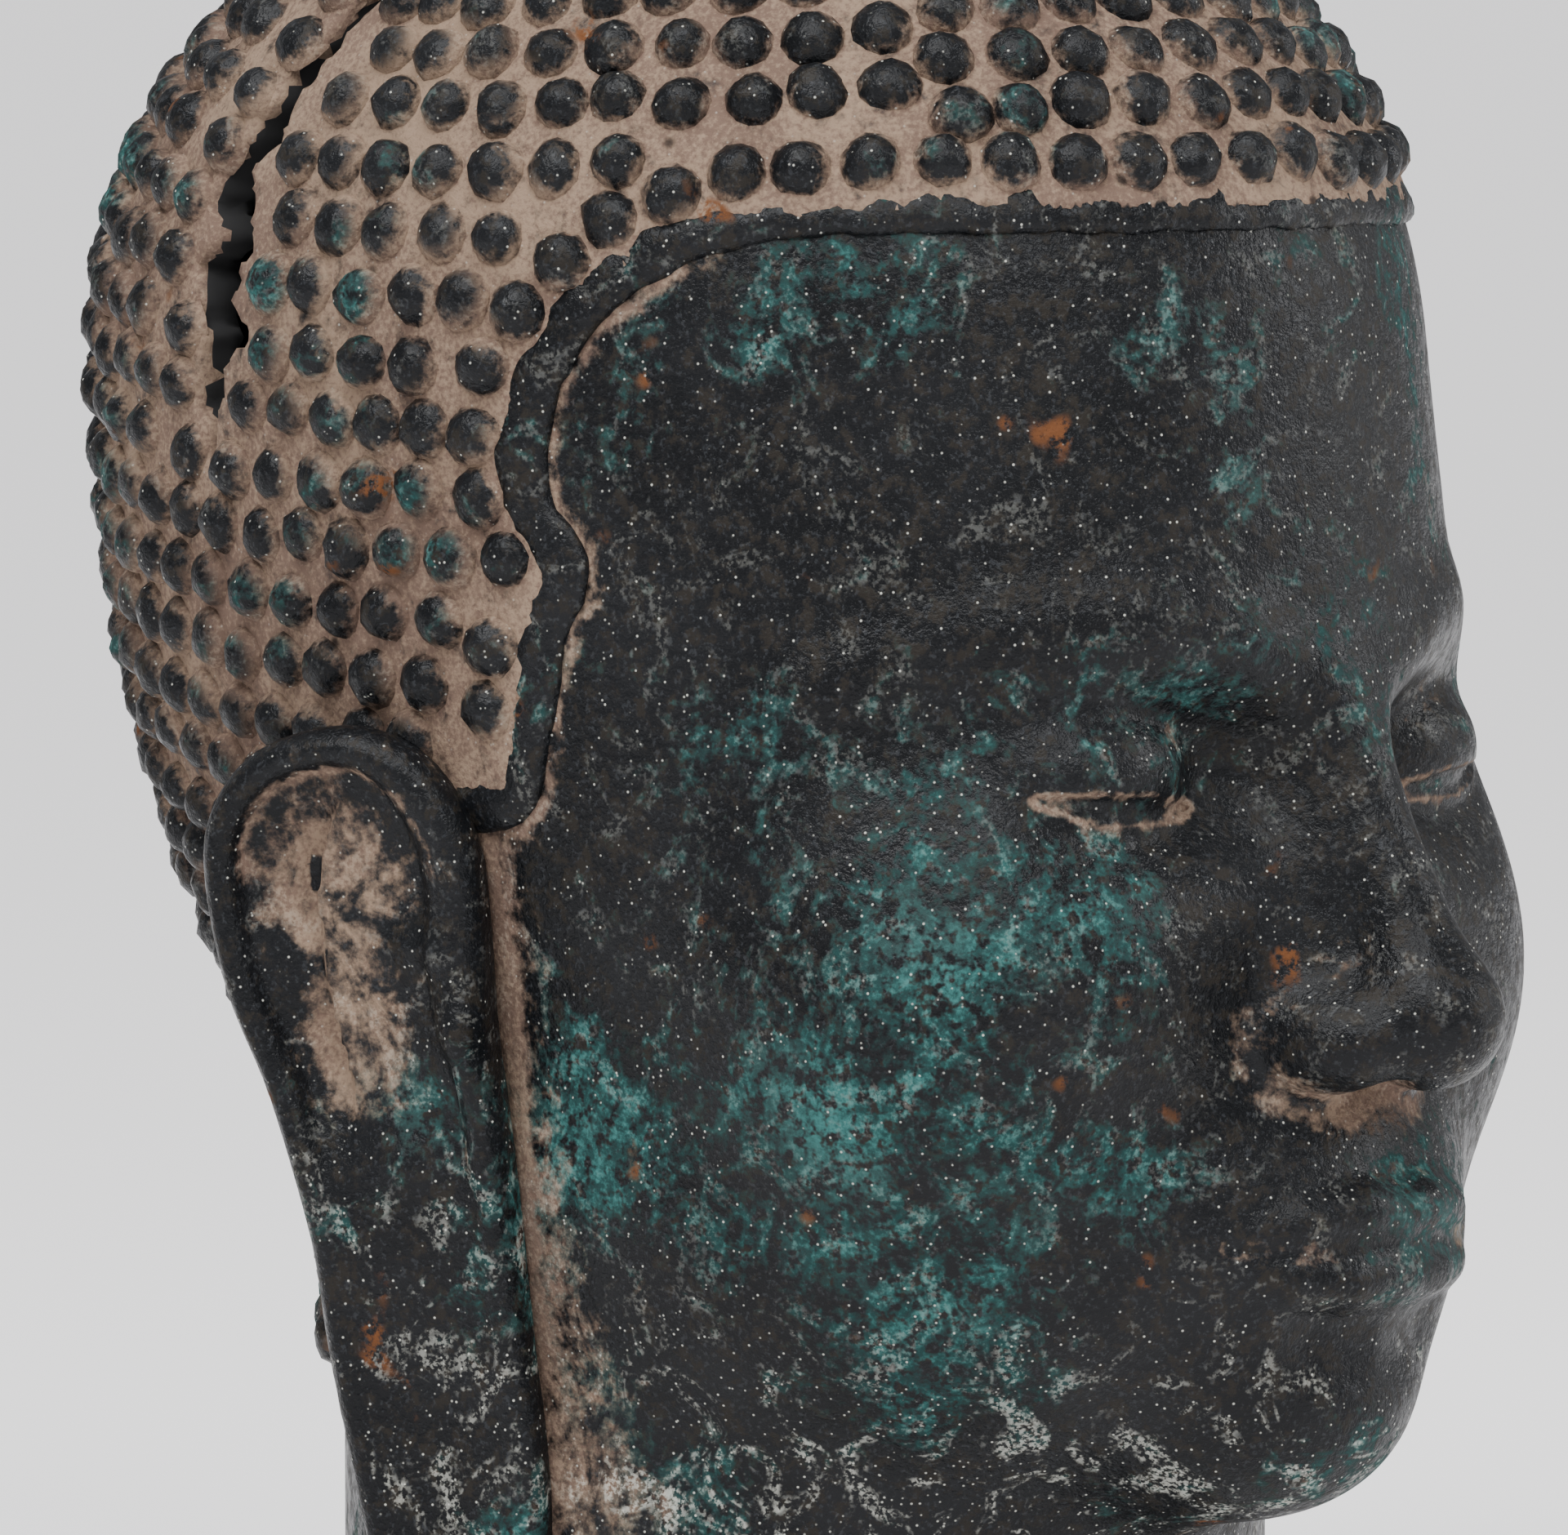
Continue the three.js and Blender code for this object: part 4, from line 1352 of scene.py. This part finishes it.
    def node_group(self) -> bpy.types.NodeTree:
        """Geometry Nodes that set one curl on each point.

        Returns:
            The node group, with named inputs.
        """
        sizes = dict.fromkeys(("Curl Diameter", "Curl Height", "Unevenness", "Lumpiness"), "Float")
        tree, given = new_group("curls_on_points", {**sizes, "Seed": "Int"})
        ball = add_node(tree, "GeometryNodeMeshUVSphere", {"Segments": 12, "Rings": 8, "Radius": 1.0})
        place = add_node(tree, "GeometryNodeInputPosition").outputs[0]
        height = add_node(tree, "ShaderNodeSeparateXYZ", {0: place}).outputs["Z"]
        low = add_node(tree, "FunctionNodeCompare", {0: height, 1: -0.3}, operation="LESS_THAN").outputs[0]
        kept = {"Geometry": ball.outputs["Mesh"], "Selection": low}
        dome = add_node(tree, "GeometryNodeDeleteGeometry", kept, domain="POINT").outputs[0]
        lift = {"Geometry": dome, "Name": "lift", "Value": height}
        stored = add_node(tree, "GeometryNodeStoreNamedAttribute", lift, data_type="FLOAT", domain="POINT")
        across = {0: given["Curl Diameter"], 1: 0.5}
        radius = add_node(tree, "ShaderNodeMath", across, operation="MULTIPLY").outputs[0]
        extent = {0: radius, 1: radius, 2: given["Curl Height"]}
        size = add_node(tree, "ShaderNodeCombineXYZ", extent).outputs[0]
        sized = {"Geometry": stored.outputs[0], "Scale": size}
        shaped = add_node(tree, "GeometryNodeTransform", sized).outputs[0]
        out = {"Vector": stored_outward(tree)}
        aligned = add_node(tree, "FunctionNodeAlignRotationToVector", out, axis="Z").outputs[0]
        turns = {"Min": (0.0, 0.0, 0.0), "Max": (0.14, 0.14, 6.28), "Seed": given["Seed"]}
        spin = add_node(tree, "FunctionNodeRandomValue", turns, data_type="FLOAT_VECTOR").outputs[0]
        both = {"Rotation": aligned, "Rotate By": spin}
        turned = add_node(tree, "FunctionNodeRotateRotation", both, rotation_space="LOCAL").outputs[0]
        least, most = (
            add_node(tree, "ShaderNodeMath", {0: 1.0, 1: given["Unevenness"]}, operation=kind).outputs[0]
            for kind in ("SUBTRACT", "ADD")
        )
        sizes = {"Min": least, "Max": most, "Seed": given["Seed"]}
        scale = add_node(tree, "FunctionNodeRandomValue", sizes, data_type="FLOAT_VECTOR").outputs[0]
        curls = {"Points": given["Geometry"], "Instance": shaped, "Rotation": turned, "Scale": scale}
        placed = add_node(tree, "GeometryNodeInstanceOnPoints", curls).outputs[0]
        real = add_node(tree, "GeometryNodeRealizeInstances", {"Geometry": placed}).outputs[0]
        worn = roughened(tree, real, 360.0, given["Lumpiness"])
        smooth = add_node(tree, "GeometryNodeSetShadeSmooth", {"Geometry": worn}).outputs[0]
        look = {"Geometry": smooth, "Material": given["Material"]}
        dressed = add_node(tree, "GeometryNodeSetMaterial", look)
        add_node(tree, "NodeGroupOutput", {0: dressed.outputs[0]})
        return tree

    def build(self, collection: bpy.types.Collection) -> bpy.types.Object:
        """Makes the curls as one piece.

        Args:
            collection: where the piece goes.

        Returns:
            The piece.
        """
        feet = self.feet()
        across, half = crack_offset(feet)
        room = half + np.where(across > 0, 1.8, 2.6)
        beside = (azimuth_of(feet) > CRACK_SIDE) & (half > 0.1)
        short = np.where(beside, np.clip(room - np.abs(across), 0, None), 0)  # how much too near the crack
        feet = self.project(feet + self.backward(feet) * (np.sign(across) * short)[:, None])
        feet = self.singly(feet, 0.74)
        normals = outward(SKULL, feet)
        rng = np.random.default_rng(SEED)
        jitter = rng.normal(0, self.jitter, feet.shape)
        jitter -= normals * (jitter * normals).sum(axis=1, keepdims=True)
        lifted = feet + jitter + normals * (HAIR_LIFT - self.sink - crack_settling(feet)[:, None])
        points = add_piece("hair_curls", to_metres(lifted), [], collection)
        store(points.data, "outward", normals)
        LOG.info("curls: %d", len(feet))
        values = {
            "Curl Diameter": self.diameter * PART,
            "Curl Height": self.height * PART,
            "Unevenness": self.unevenness,
            "Lumpiness": self.lumpiness,
            "Seed": SEED,
            "Material": self.bronze,
        }
        bake(points, self.node_group(), values)
        count = len(points.data.vertices)
        places = np.empty(count * 3)
        points.data.vertices.foreach_get("co", places)
        places = (places.reshape(-1, 3) - [0, AXIS_Y, 0]) / PART - [0, 0, NECK]
        aside = smooth_step(np.abs(azimuth_of(places)), 45, 100)
        patchy = sum(np.sin(places @ np.array(wave) + shift) for wave, shift in self.waves) / len(self.waves)
        store(points.data, "dust", 0.63 + 0.12 * aside + 0.16 * patchy)
        store(points.data, "pale", np.full(count, 0.1))
        store(points.data, "green", np.full(count, 0.35))
        return points


def new_group(name: str, inputs: dict[str, str]) -> tuple[bpy.types.NodeTree, bpy.types.NodeOutputs]:
    """Starts a Geometry Nodes group that takes a geometry, named values and a material, and gives a geometry.

    Args:
        name: the group's name.
        inputs: name of each value to its kind of socket.

    Returns:
        The group, and the sockets that bring what it takes.
    """
    tree = bpy.data.node_groups.new(name, "GeometryNodeTree")
    for label, kind in {"Geometry": "Geometry", **inputs, "Material": "Material"}.items():
        tree.interface.new_socket(label, in_out="INPUT", socket_type=f"NodeSocket{kind}")
    tree.interface.new_socket("Geometry", in_out="OUTPUT", socket_type="NodeSocketGeometry")
    return tree, add_node(tree, "NodeGroupInput").outputs


def stored_outward(tree: bpy.types.NodeTree) -> bpy.types.NodeSocket:
    """Reads the direction out of the head that the piece's points hold.

    Args:
        tree: the node group.

    Returns:
        The direction.
    """
    name = {"Name": "outward"}
    return add_node(tree, "GeometryNodeInputNamedAttribute", name, data_type="FLOAT_VECTOR").outputs[0]


def roughened(
    tree: bpy.types.NodeTree, geometry: bpy.types.NodeSocket, per_metre: float, amount: bpy.types.NodeSocket
) -> bpy.types.NodeSocket:
    """Moves a geometry's points by a fine noise, as a cast and worn surface has it.

    Args:
        tree: the node group.
        geometry: what is moved.
        per_metre: pattern scale.
        amount: metres from the noise's lowest to its highest value.

    Returns:
        The moved geometry.
    """
    noise = add_node(tree, "ShaderNodeTexNoise", {"Scale": per_metre, "Detail": 3.0}, noise_dimensions="3D")
    middle = {0: noise.outputs["Color"], 1: (0.5, 0.5, 0.5)}
    centred = add_node(tree, "ShaderNodeVectorMath", middle, operation="SUBTRACT").outputs[0]
    moved = {0: centred, "Scale": amount}
    offset = add_node(tree, "ShaderNodeVectorMath", moved, operation="SCALE").outputs[0]
    return add_node(tree, "GeometryNodeSetPosition", {"Geometry": geometry, "Offset": offset}).outputs[0]


def bake(piece: bpy.types.Object, tree: bpy.types.NodeTree, values: dict[str, object]) -> None:
    """Runs a Geometry Nodes group on a piece and keeps the result as its plain mesh.

    Args:
        piece: the piece, whose mesh is replaced.
        tree: the node group.
        values: input name to value.
    """
    modifier = piece.modifiers.new("shape", "NODES")
    modifier.node_group = tree
    for item in tree.interface.items_tree:
        if item.item_type == "SOCKET" and item.in_out == "INPUT" and item.name in values:
            modifier[item.identifier] = values[item.name]
    piece.update_tag()
    bpy.context.view_layer.update()
    graph = bpy.context.evaluated_depsgraph_get()
    shaped = piece.evaluated_get(graph)
    mesh = bpy.data.meshes.new_from_object(shaped, preserve_all_data_layers=True, depsgraph=graph)
    piece.modifiers.remove(modifier)
    piece.data = mesh


@dataclass
class HairlineBand:
    """Smooth raised band along the hairline, from ear to ear."""

    bronze: bpy.types.Material
    width: float = 2.5
    height: float = 0.62
    waver: float = 0.22  # how far the band strays from its line, in parts
    unevenness: float = 0.002  # metres

    def node_group(self) -> bpy.types.NodeTree:
        """Geometry Nodes that sweep a flattened round along the path.

        Returns:
            The node group, with named inputs.
        """
        sizes = dict.fromkeys(("Band Width", "Band Height", "Unevenness"), "Float")
        tree, given = new_group("band_along_path", sizes)
        name = {"Name": "grow"}
        grow = add_node(tree, "GeometryNodeInputNamedAttribute", name, data_type="FLOAT").outputs[0]
        curve = add_node(tree, "GeometryNodeMeshToCurve", {"Mesh": given["Geometry"]}).outputs[0]
        normal = {"Curve": curve, "Normal": stored_outward(tree)}
        aimed = add_node(tree, "GeometryNodeSetCurveNormal", normal, mode="FREE").outputs[0]
        circle = {"Resolution": 14, "Radius": 1.0}
        ring = add_node(tree, "GeometryNodeCurvePrimitiveCircle", circle).outputs[0]
        across = {0: given["Band Width"], 1: 0.5}
        half = add_node(tree, "ShaderNodeMath", across, operation="MULTIPLY").outputs[0]
        size = add_node(tree, "ShaderNodeCombineXYZ", {0: given["Band Height"], 1: half, 2: 1.0}).outputs[0]
        section = add_node(tree, "GeometryNodeTransform", {"Geometry": ring, "Scale": size}).outputs[0]
        sweep = {"Curve": aimed, "Profile Curve": section, "Scale": grow, "Fill Caps": True}
        swept = add_node(tree, "GeometryNodeCurveToMesh", sweep).outputs[0]
        smooth = add_node(tree, "GeometryNodeSetShadeSmooth", {"Geometry": swept}).outputs[0]
        worn = roughened(tree, smooth, 210.0, given["Unevenness"])
        real = add_node(tree, "GeometryNodeRealizeInstances", {"Geometry": worn}).outputs[0]
        dressed = add_node(tree, "GeometryNodeSetMaterial", {"Geometry": real, "Material": given["Material"]})
        add_node(tree, "NodeGroupOutput", {0: dressed.outputs[0]})
        return tree

    def build(self, collection: bpy.types.Collection) -> bpy.types.Object:
        """Makes the band.

        Args:
            collection: where the piece goes.

        Returns:
            The piece.
        """
        line = hairline_path(200)
        right = around_at(SKULL + FACE, line[:, 0], line[:, 1])
        path = np.vstack([right[::-1], right[1:] * [-1, 1, 1]])
        normals = outward(SKULL, path)
        azimuth = np.abs(azimuth_of(path))
        rng = np.random.default_rng(SEED + 1)
        waver = np.convolve(rng.normal(0, 1, len(path) + 24), np.hanning(25) / 12, mode="valid")
        path = path + np.cross(normals, np.gradient(path, axis=0)) * (self.waver * waver)[:, None]
        grow = 1.0 + 0.28 * np.clip((azimuth - 50) / 20, 0, 1) + 0.07 * np.roll(waver, 31)
        edges = [(i, i + 1) for i in range(len(path) - 1)]
        piece = add_piece("hairline_band", to_metres(path), [], collection, edges)
        store(piece.data, "outward", normals)
        store(piece.data, "grow", grow)
        values = {
            "Band Width": self.width * PART,
            "Band Height": self.height * PART,
            "Unevenness": self.unevenness,
            "Material": self.bronze,
        }
        bake(piece, self.node_group(), values)
        count = len(piece.data.vertices)
        for name, value in (("dust", 0.22), ("lift", 0.3), ("pale", 0.2), ("green", 0.55)):
            store(piece.data, name, np.full(count, value))
        return piece


@dataclass
class Ear:
    """Ear with a rolled rim, two basins and a long flat lobe, on a root that joins it to the head."""

    bronze: bpy.types.Material
    side: Side
    step: float = 0.36  # grid step in parts
    thickness: float = 3.2
    rim: float = 2.1  # width of the rolled rim
    edge: float = 1.25  # rounding of the plate's edge
    at: tuple[float, float, float] = (-34.6, 1.4, 26.2)
    flare: float = 20.0  # degrees out from the head
    lean: float = 6.0  # degrees about the forward direction
    carving: tuple[tuple[float, float, float, float, float], ...] = (  # middle and reach along u and v, rise
        (-0.7, 11.0, 4.4, 4.2, -2.6),
        (0.2, 2.0, 3.3, 4.8, -2.3),
        (7.4, 2.4, 2.0, 2.8, 1.3),
        (4.2, 7.2, 2.4, 1.2, 0.9),
        (3.4, -5.0, 2.2, 1.7, 0.6),
        (4.6, -18.0, 3.2, 13.0, -0.5),
    )
    outline: tuple[tuple[float, float], ...] = (
        (-8.3, 10.5),
        (-7.8, 14.6),
        (-4.8, 18.2),
        (0.6, 19.6),
        (5, 18),
        (7.8, 13.8),
        (8.4, 9),
        (8.6, 3),
        (9.2, -3),
        (9.7, -9.4),
        (10.1, -15.8),
        (10.6, -21.5),
        (10.6, -28),
        (9.4, -34),
        (5.6, -37.2),
        (2, -35),
        (0.2, -28.5),
        (-1.1, -21.4),
        (-2, -15.8),
        (-2.8, -9.4),
        (-5, -1.4),
        (-7.2, 4.4),
    )

    def matrix(self) -> np.ndarray:
        """Placement of the right ear: local u runs to the face, v up and w out of the plate.

        Returns:
            A 4 by 4 matrix in parts.
        """
        flare = math.radians(self.flare)
        forward = Vector((math.sin(flare), -math.cos(flare), 0))
        out = Vector((-math.cos(flare), -math.sin(flare), 0))
        turned = Matrix((forward, Vector((0, 0, 1)), out)).transposed().to_4x4()
        leaned = Matrix.Rotation(math.radians(self.lean), 4, forward)
        return np.array(Matrix.Translation(self.at) @ leaned @ turned)

    def distance(self, points: np.ndarray) -> np.ndarray:
        """Signed distance to the ear.

        Args:
            points: local coordinates in parts, shape (n, 3).

        Returns:
            Distances in parts.
        """
        u, v, w = points.T
        loop = catmull(np.array(self.outline), 90, closed=True)
        flat = self.outline_distance(u, v, loop)
        height = self.relief(u, v, -flat)
        side = flat + self.edge
        face = np.maximum(w - height, np.minimum(-self.thickness, height - 1.4) - w) + self.edge
        found = np.hypot(np.maximum(side, 0), np.maximum(face, 0)) + np.minimum(np.maximum(side, face), 0)
        found -= self.edge
        root_flat = self.outline_distance((u - 3) / 0.56, (v + 0.6) / 0.88, loop) * 0.56
        root = np.maximum(root_flat, np.abs(w + 7.2) - 5.8)
        return smooth_min(found, root, 1.0)

    def relief(self, u: np.ndarray, v: np.ndarray, inside: np.ndarray) -> np.ndarray:
        """Height of the ear's face over the plate: the rolled rim, the two basins and the flaps between them.

        Args:
            u, v: coordinates, shape (n,).
            inside: distance in from the outline, shape (n,).

        Returns:
            Heights in parts, negative where the face is sunk.
        """
        upper = smooth_step(v, -9, -2)
        room = self.rim * (1 + 0.55 * smooth_step(u, 0, 6) * smooth_step(v, 0, 6))
        height = 0.45 * np.sin(np.pi * np.clip(inside / room, 0, 1)) * smooth_step(v, -30, -6)
        height -= 0.75 * smooth_step(inside, room * 0.9, room * 1.15) * upper
        for cu, cv, ru, rv, rise in self.carving:
            height += rise * np.exp(-(((u - cu) / ru) ** 2) - ((v - cv) / rv) ** 2)
        return height

    @staticmethod
    def outline_distance(u: np.ndarray, v: np.ndarray, loop: np.ndarray) -> np.ndarray:
        """Signed distance in the plate's plane to a closed outline.

        Args:
            u, v: coordinates, shape (n,).
            loop: corners of the outline, shape (m, 2).

        Returns:
            Distances, negative inside.
        """
        best = np.full(len(u), 1e6)
        for (ax, ay), (bx, by) in zip(loop, np.roll(loop, -1, axis=0)):
            dx, dy = bx - ax, by - ay
            along = np.clip(((u - ax) * dx + (v - ay) * dy) / (dx * dx + dy * dy), 0, 1)
            best = np.minimum(best, (u - ax - along * dx) ** 2 + (v - ay - along * dy) ** 2)
        return np.where(inside_outline(u, v, loop), -1, 1) * np.sqrt(best)

    def distance_from_head(self, points: np.ndarray) -> np.ndarray:
        """Rough distance to this ear from points given in the head's own coordinates.

        Args:
            points: coordinates in parts, shape (n, 3).

        Returns:
            Distances in parts.
        """
        mirrored = points * [-self.side.value, 1, 1]
        local = (np.linalg.inv(self.matrix()) @ np.c_[mirrored, np.ones(len(points))].T).T[:, :3]
        near = (np.abs(local - [0, -9, -4]) < [20, 39, 18]).all(axis=1)  # in a box with room round the ear
        found = np.full(len(points), 30.0)
        if near.any():
            found[near] = self.distance(local[near])
        return found

    def build(self, collection: bpy.types.Collection) -> bpy.types.Object:
        """Makes the ear.

        Args:
            collection: where the piece goes.

        Returns:
            The piece.
        """
        axes = tuple(np.arange(a, b, self.step) for a, b in ((-11, 13.4), (-39.5, 22.4), (-14, 3.6)))
        grid = np.stack([g.ravel() for g in np.meshgrid(*axes, indexing="ij")], axis=1)
        values = self.distance(grid).reshape([len(a) for a in axes])
        vertices, quads = surface_net(axes, values)
        hollow = np.zeros(len(vertices))
        shifts = np.eye(3) * 0.1
        slope = np.stack([self.distance(vertices + s) - self.distance(vertices - s) for s in shifts], axis=1)
        normals = slope / np.maximum(np.linalg.norm(slope, axis=1, keepdims=True), 1e-9)
        for reach, weight in ((1.2, 0.5), (3.2, 0.6)):
            hollow += weight * np.clip(1 - self.distance(vertices + normals * reach) / reach, 0, 1)
        placed = (self.matrix() @ np.c_[vertices, np.ones(len(vertices))].T).T[:, :3]
        skin = form_distance(SKULL, placed)
        if self.side is Side.LEFT:
            placed = placed * [-1, 1, 1]
            quads = quads[:, ::-1]
        piece = add_piece(f"{self.side.name.lower()}_ear", to_metres(placed), quads, collection)
        u, v, w = vertices.T
        inside = -self.outline_distance(u, v, catmull(np.array(self.outline), 90, closed=True))
        depth = self.relief(u, v, inside)
        sunk = smooth_step(-depth, 0.5, 2.6) * (w > -0.9 * self.thickness) * (inside > 0.7)
        step = np.exp(-(((inside - self.rim * 1.12) / 0.4) ** 2)) * smooth_step(v, 9, 13) * (w > -2)
        dust = 0.42 * sunk + 0.35 * step + 0.4 * hollow + 0.2 * np.exp(-np.maximum(skin, 0) / 2.4)
        store(piece.data, "dust", np.clip(0.85 * dust, 0, 0.62))
        store(piece.data, "lift", np.zeros(len(vertices)))
        store(piece.data, "pale", np.clip(0.3 - vertices[:, 1] / 60, 0, 1))
        store(piece.data, "green", np.clip(0.35 - vertices[:, 1] / 50, 0, 1))
        piece.data.materials.append(self.bronze)
        LOG.info("%s: %d quads", piece.name, len(quads))
        return piece


# Studio


@dataclass(frozen=True)
class Studio:
    """Camera, soft lights and pale sweep of the product photograph."""

    azimuth: float = -50.0
    elevation: float = 4.0
    distance: float = 1.4
    lens: float = 277.0
    aim: tuple[float, float, float] = (0.0018, 0.0088, 0.1194)
    softboxes: tuple[tuple[str, float, float, float, float], ...] = (  # azimuth, elevation, metres, watts
        ("key_softbox", -85, 45, 1.1, 9),
        ("front_softbox", -25, 38, 1.2, 8),
        ("right_softbox", 45, 20, 1.2, 7),
    )
    softbox_size: float = 0.5
    scrim: tuple[float, float] = (-75, 72)  # azimuth and elevation of the broad light from above
    scrim_strength: float = 3.45
    scrim_angle: float = 50.0  # degrees of sky that it fills
    surroundings: str = "#e8e8ea"
    surroundings_strength: float = 0.52
    floor_half: float = 90.0

    def direction(self, azimuth: float, elevation: float) -> Vector:
        """Unit vector from the part towards a place around it.

        Args:
            azimuth: degrees, 0 in front of the face.
            elevation: degrees above the level.

        Returns:
            The direction.
        """
        a, e = math.radians(azimuth), math.radians(elevation)
        return Vector((math.sin(a) * math.cos(e), -math.cos(a) * math.cos(e), math.sin(e)))

    def place(
        self,
        data: bpy.types.ID,
        azimuth: float,
        elevation: float,
        reach: float,
        collection: bpy.types.Collection,
    ) -> bpy.types.Object:
        """Adds a camera or a light that looks at the part.

        Args:
            data: the camera or light.
            azimuth, elevation: where it stands, in degrees.
            reach: metres from the aim.
            collection: where it goes.

        Returns:
            The object.
        """
        toward = self.direction(azimuth, elevation)
        item = bpy.data.objects.new(data.name, data)
        item.location = Vector(self.aim) + toward * reach
        item.rotation_euler = toward.to_track_quat("Z", "Y").to_euler()
        collection.objects.link(item)
        return item

    def build(self, collection: bpy.types.Collection) -> None:
        """Adds the camera, the lights and the world's light.

        Args:
            collection: where they go.
        """
        lens = bpy.data.cameras.new("photo_camera")
        lens.lens, lens.sensor_width, lens.sensor_fit = self.lens, 36.0, "HORIZONTAL"
        lens.clip_start, lens.clip_end = 0.05, 300
        bpy.context.scene.camera = self.place(lens, self.azimuth, self.elevation, self.distance, collection)
        for name, azimuth, elevation, reach, power in self.softboxes:
            light = bpy.data.lights.new(name, "AREA")
            light.shape, light.size, light.energy = "SQUARE", self.softbox_size, power
            self.place(light, azimuth, elevation, reach, collection)
        light = bpy.data.lights.new("overhead_scrim", "SUN")
        light.energy, light.angle = self.scrim_strength, math.radians(self.scrim_angle)
        self.place(light, *self.scrim, 1.0, collection)
        world = bpy.data.worlds.new("studio")
        world.use_nodes = True
        background = world.node_tree.nodes["Background"]
        background.inputs["Color"].default_value = colour(self.surroundings)
        background.inputs["Strength"].default_value = self.surroundings_strength
        bpy.context.scene.world = world

    def floor(self, collection: bpy.types.Collection) -> bpy.types.Object:
        """Makes the plain pale sweep that the part stands on.

        Args:
            collection: where it goes.

        Returns:
            The floor.
        """
        half = self.floor_half
        corners = np.array([(-half, -half, 0), (half, -half, 0), (half, half, 0), (-half, half, 0)])
        floor = add_piece("pale_floor", corners, [(0, 1, 2, 3)], collection)
        floor.data.materials.append(PAPER.build())
        return floor


def main() -> None:
    """Builds the pieces in order, hangs them under the root body, hides the CAD part and sets the studio."""
    logging.basicConfig(level=logging.INFO, format="%(name)s: %(message)s")
    collection = bpy.context.scene.collection
    bronze = PatinaMaterial(PatinaFinish()).build()
    ears = [Ear(bronze, side) for side in Side]
    pieces = [
        # the second material is painted shade for the hollow and the crack
        CastShell(bronze, INSIDE_SHADE.build(), ears).build(collection),
        HairCurls(bronze).build(collection),
        HairlineBand(bronze).build(collection),
        *(ear.build(collection) for ear in ears),
    ]
    for piece in pieces:
        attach(piece, "root")
        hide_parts(NODE)
        LOG.info("%s: %d triangles", piece.name, sum(len(face.vertices) - 2 for face in piece.data.polygons))
    studio = Studio()
    studio.floor(collection)
    studio.build(collection)


if __name__ == "__main__":
    main()
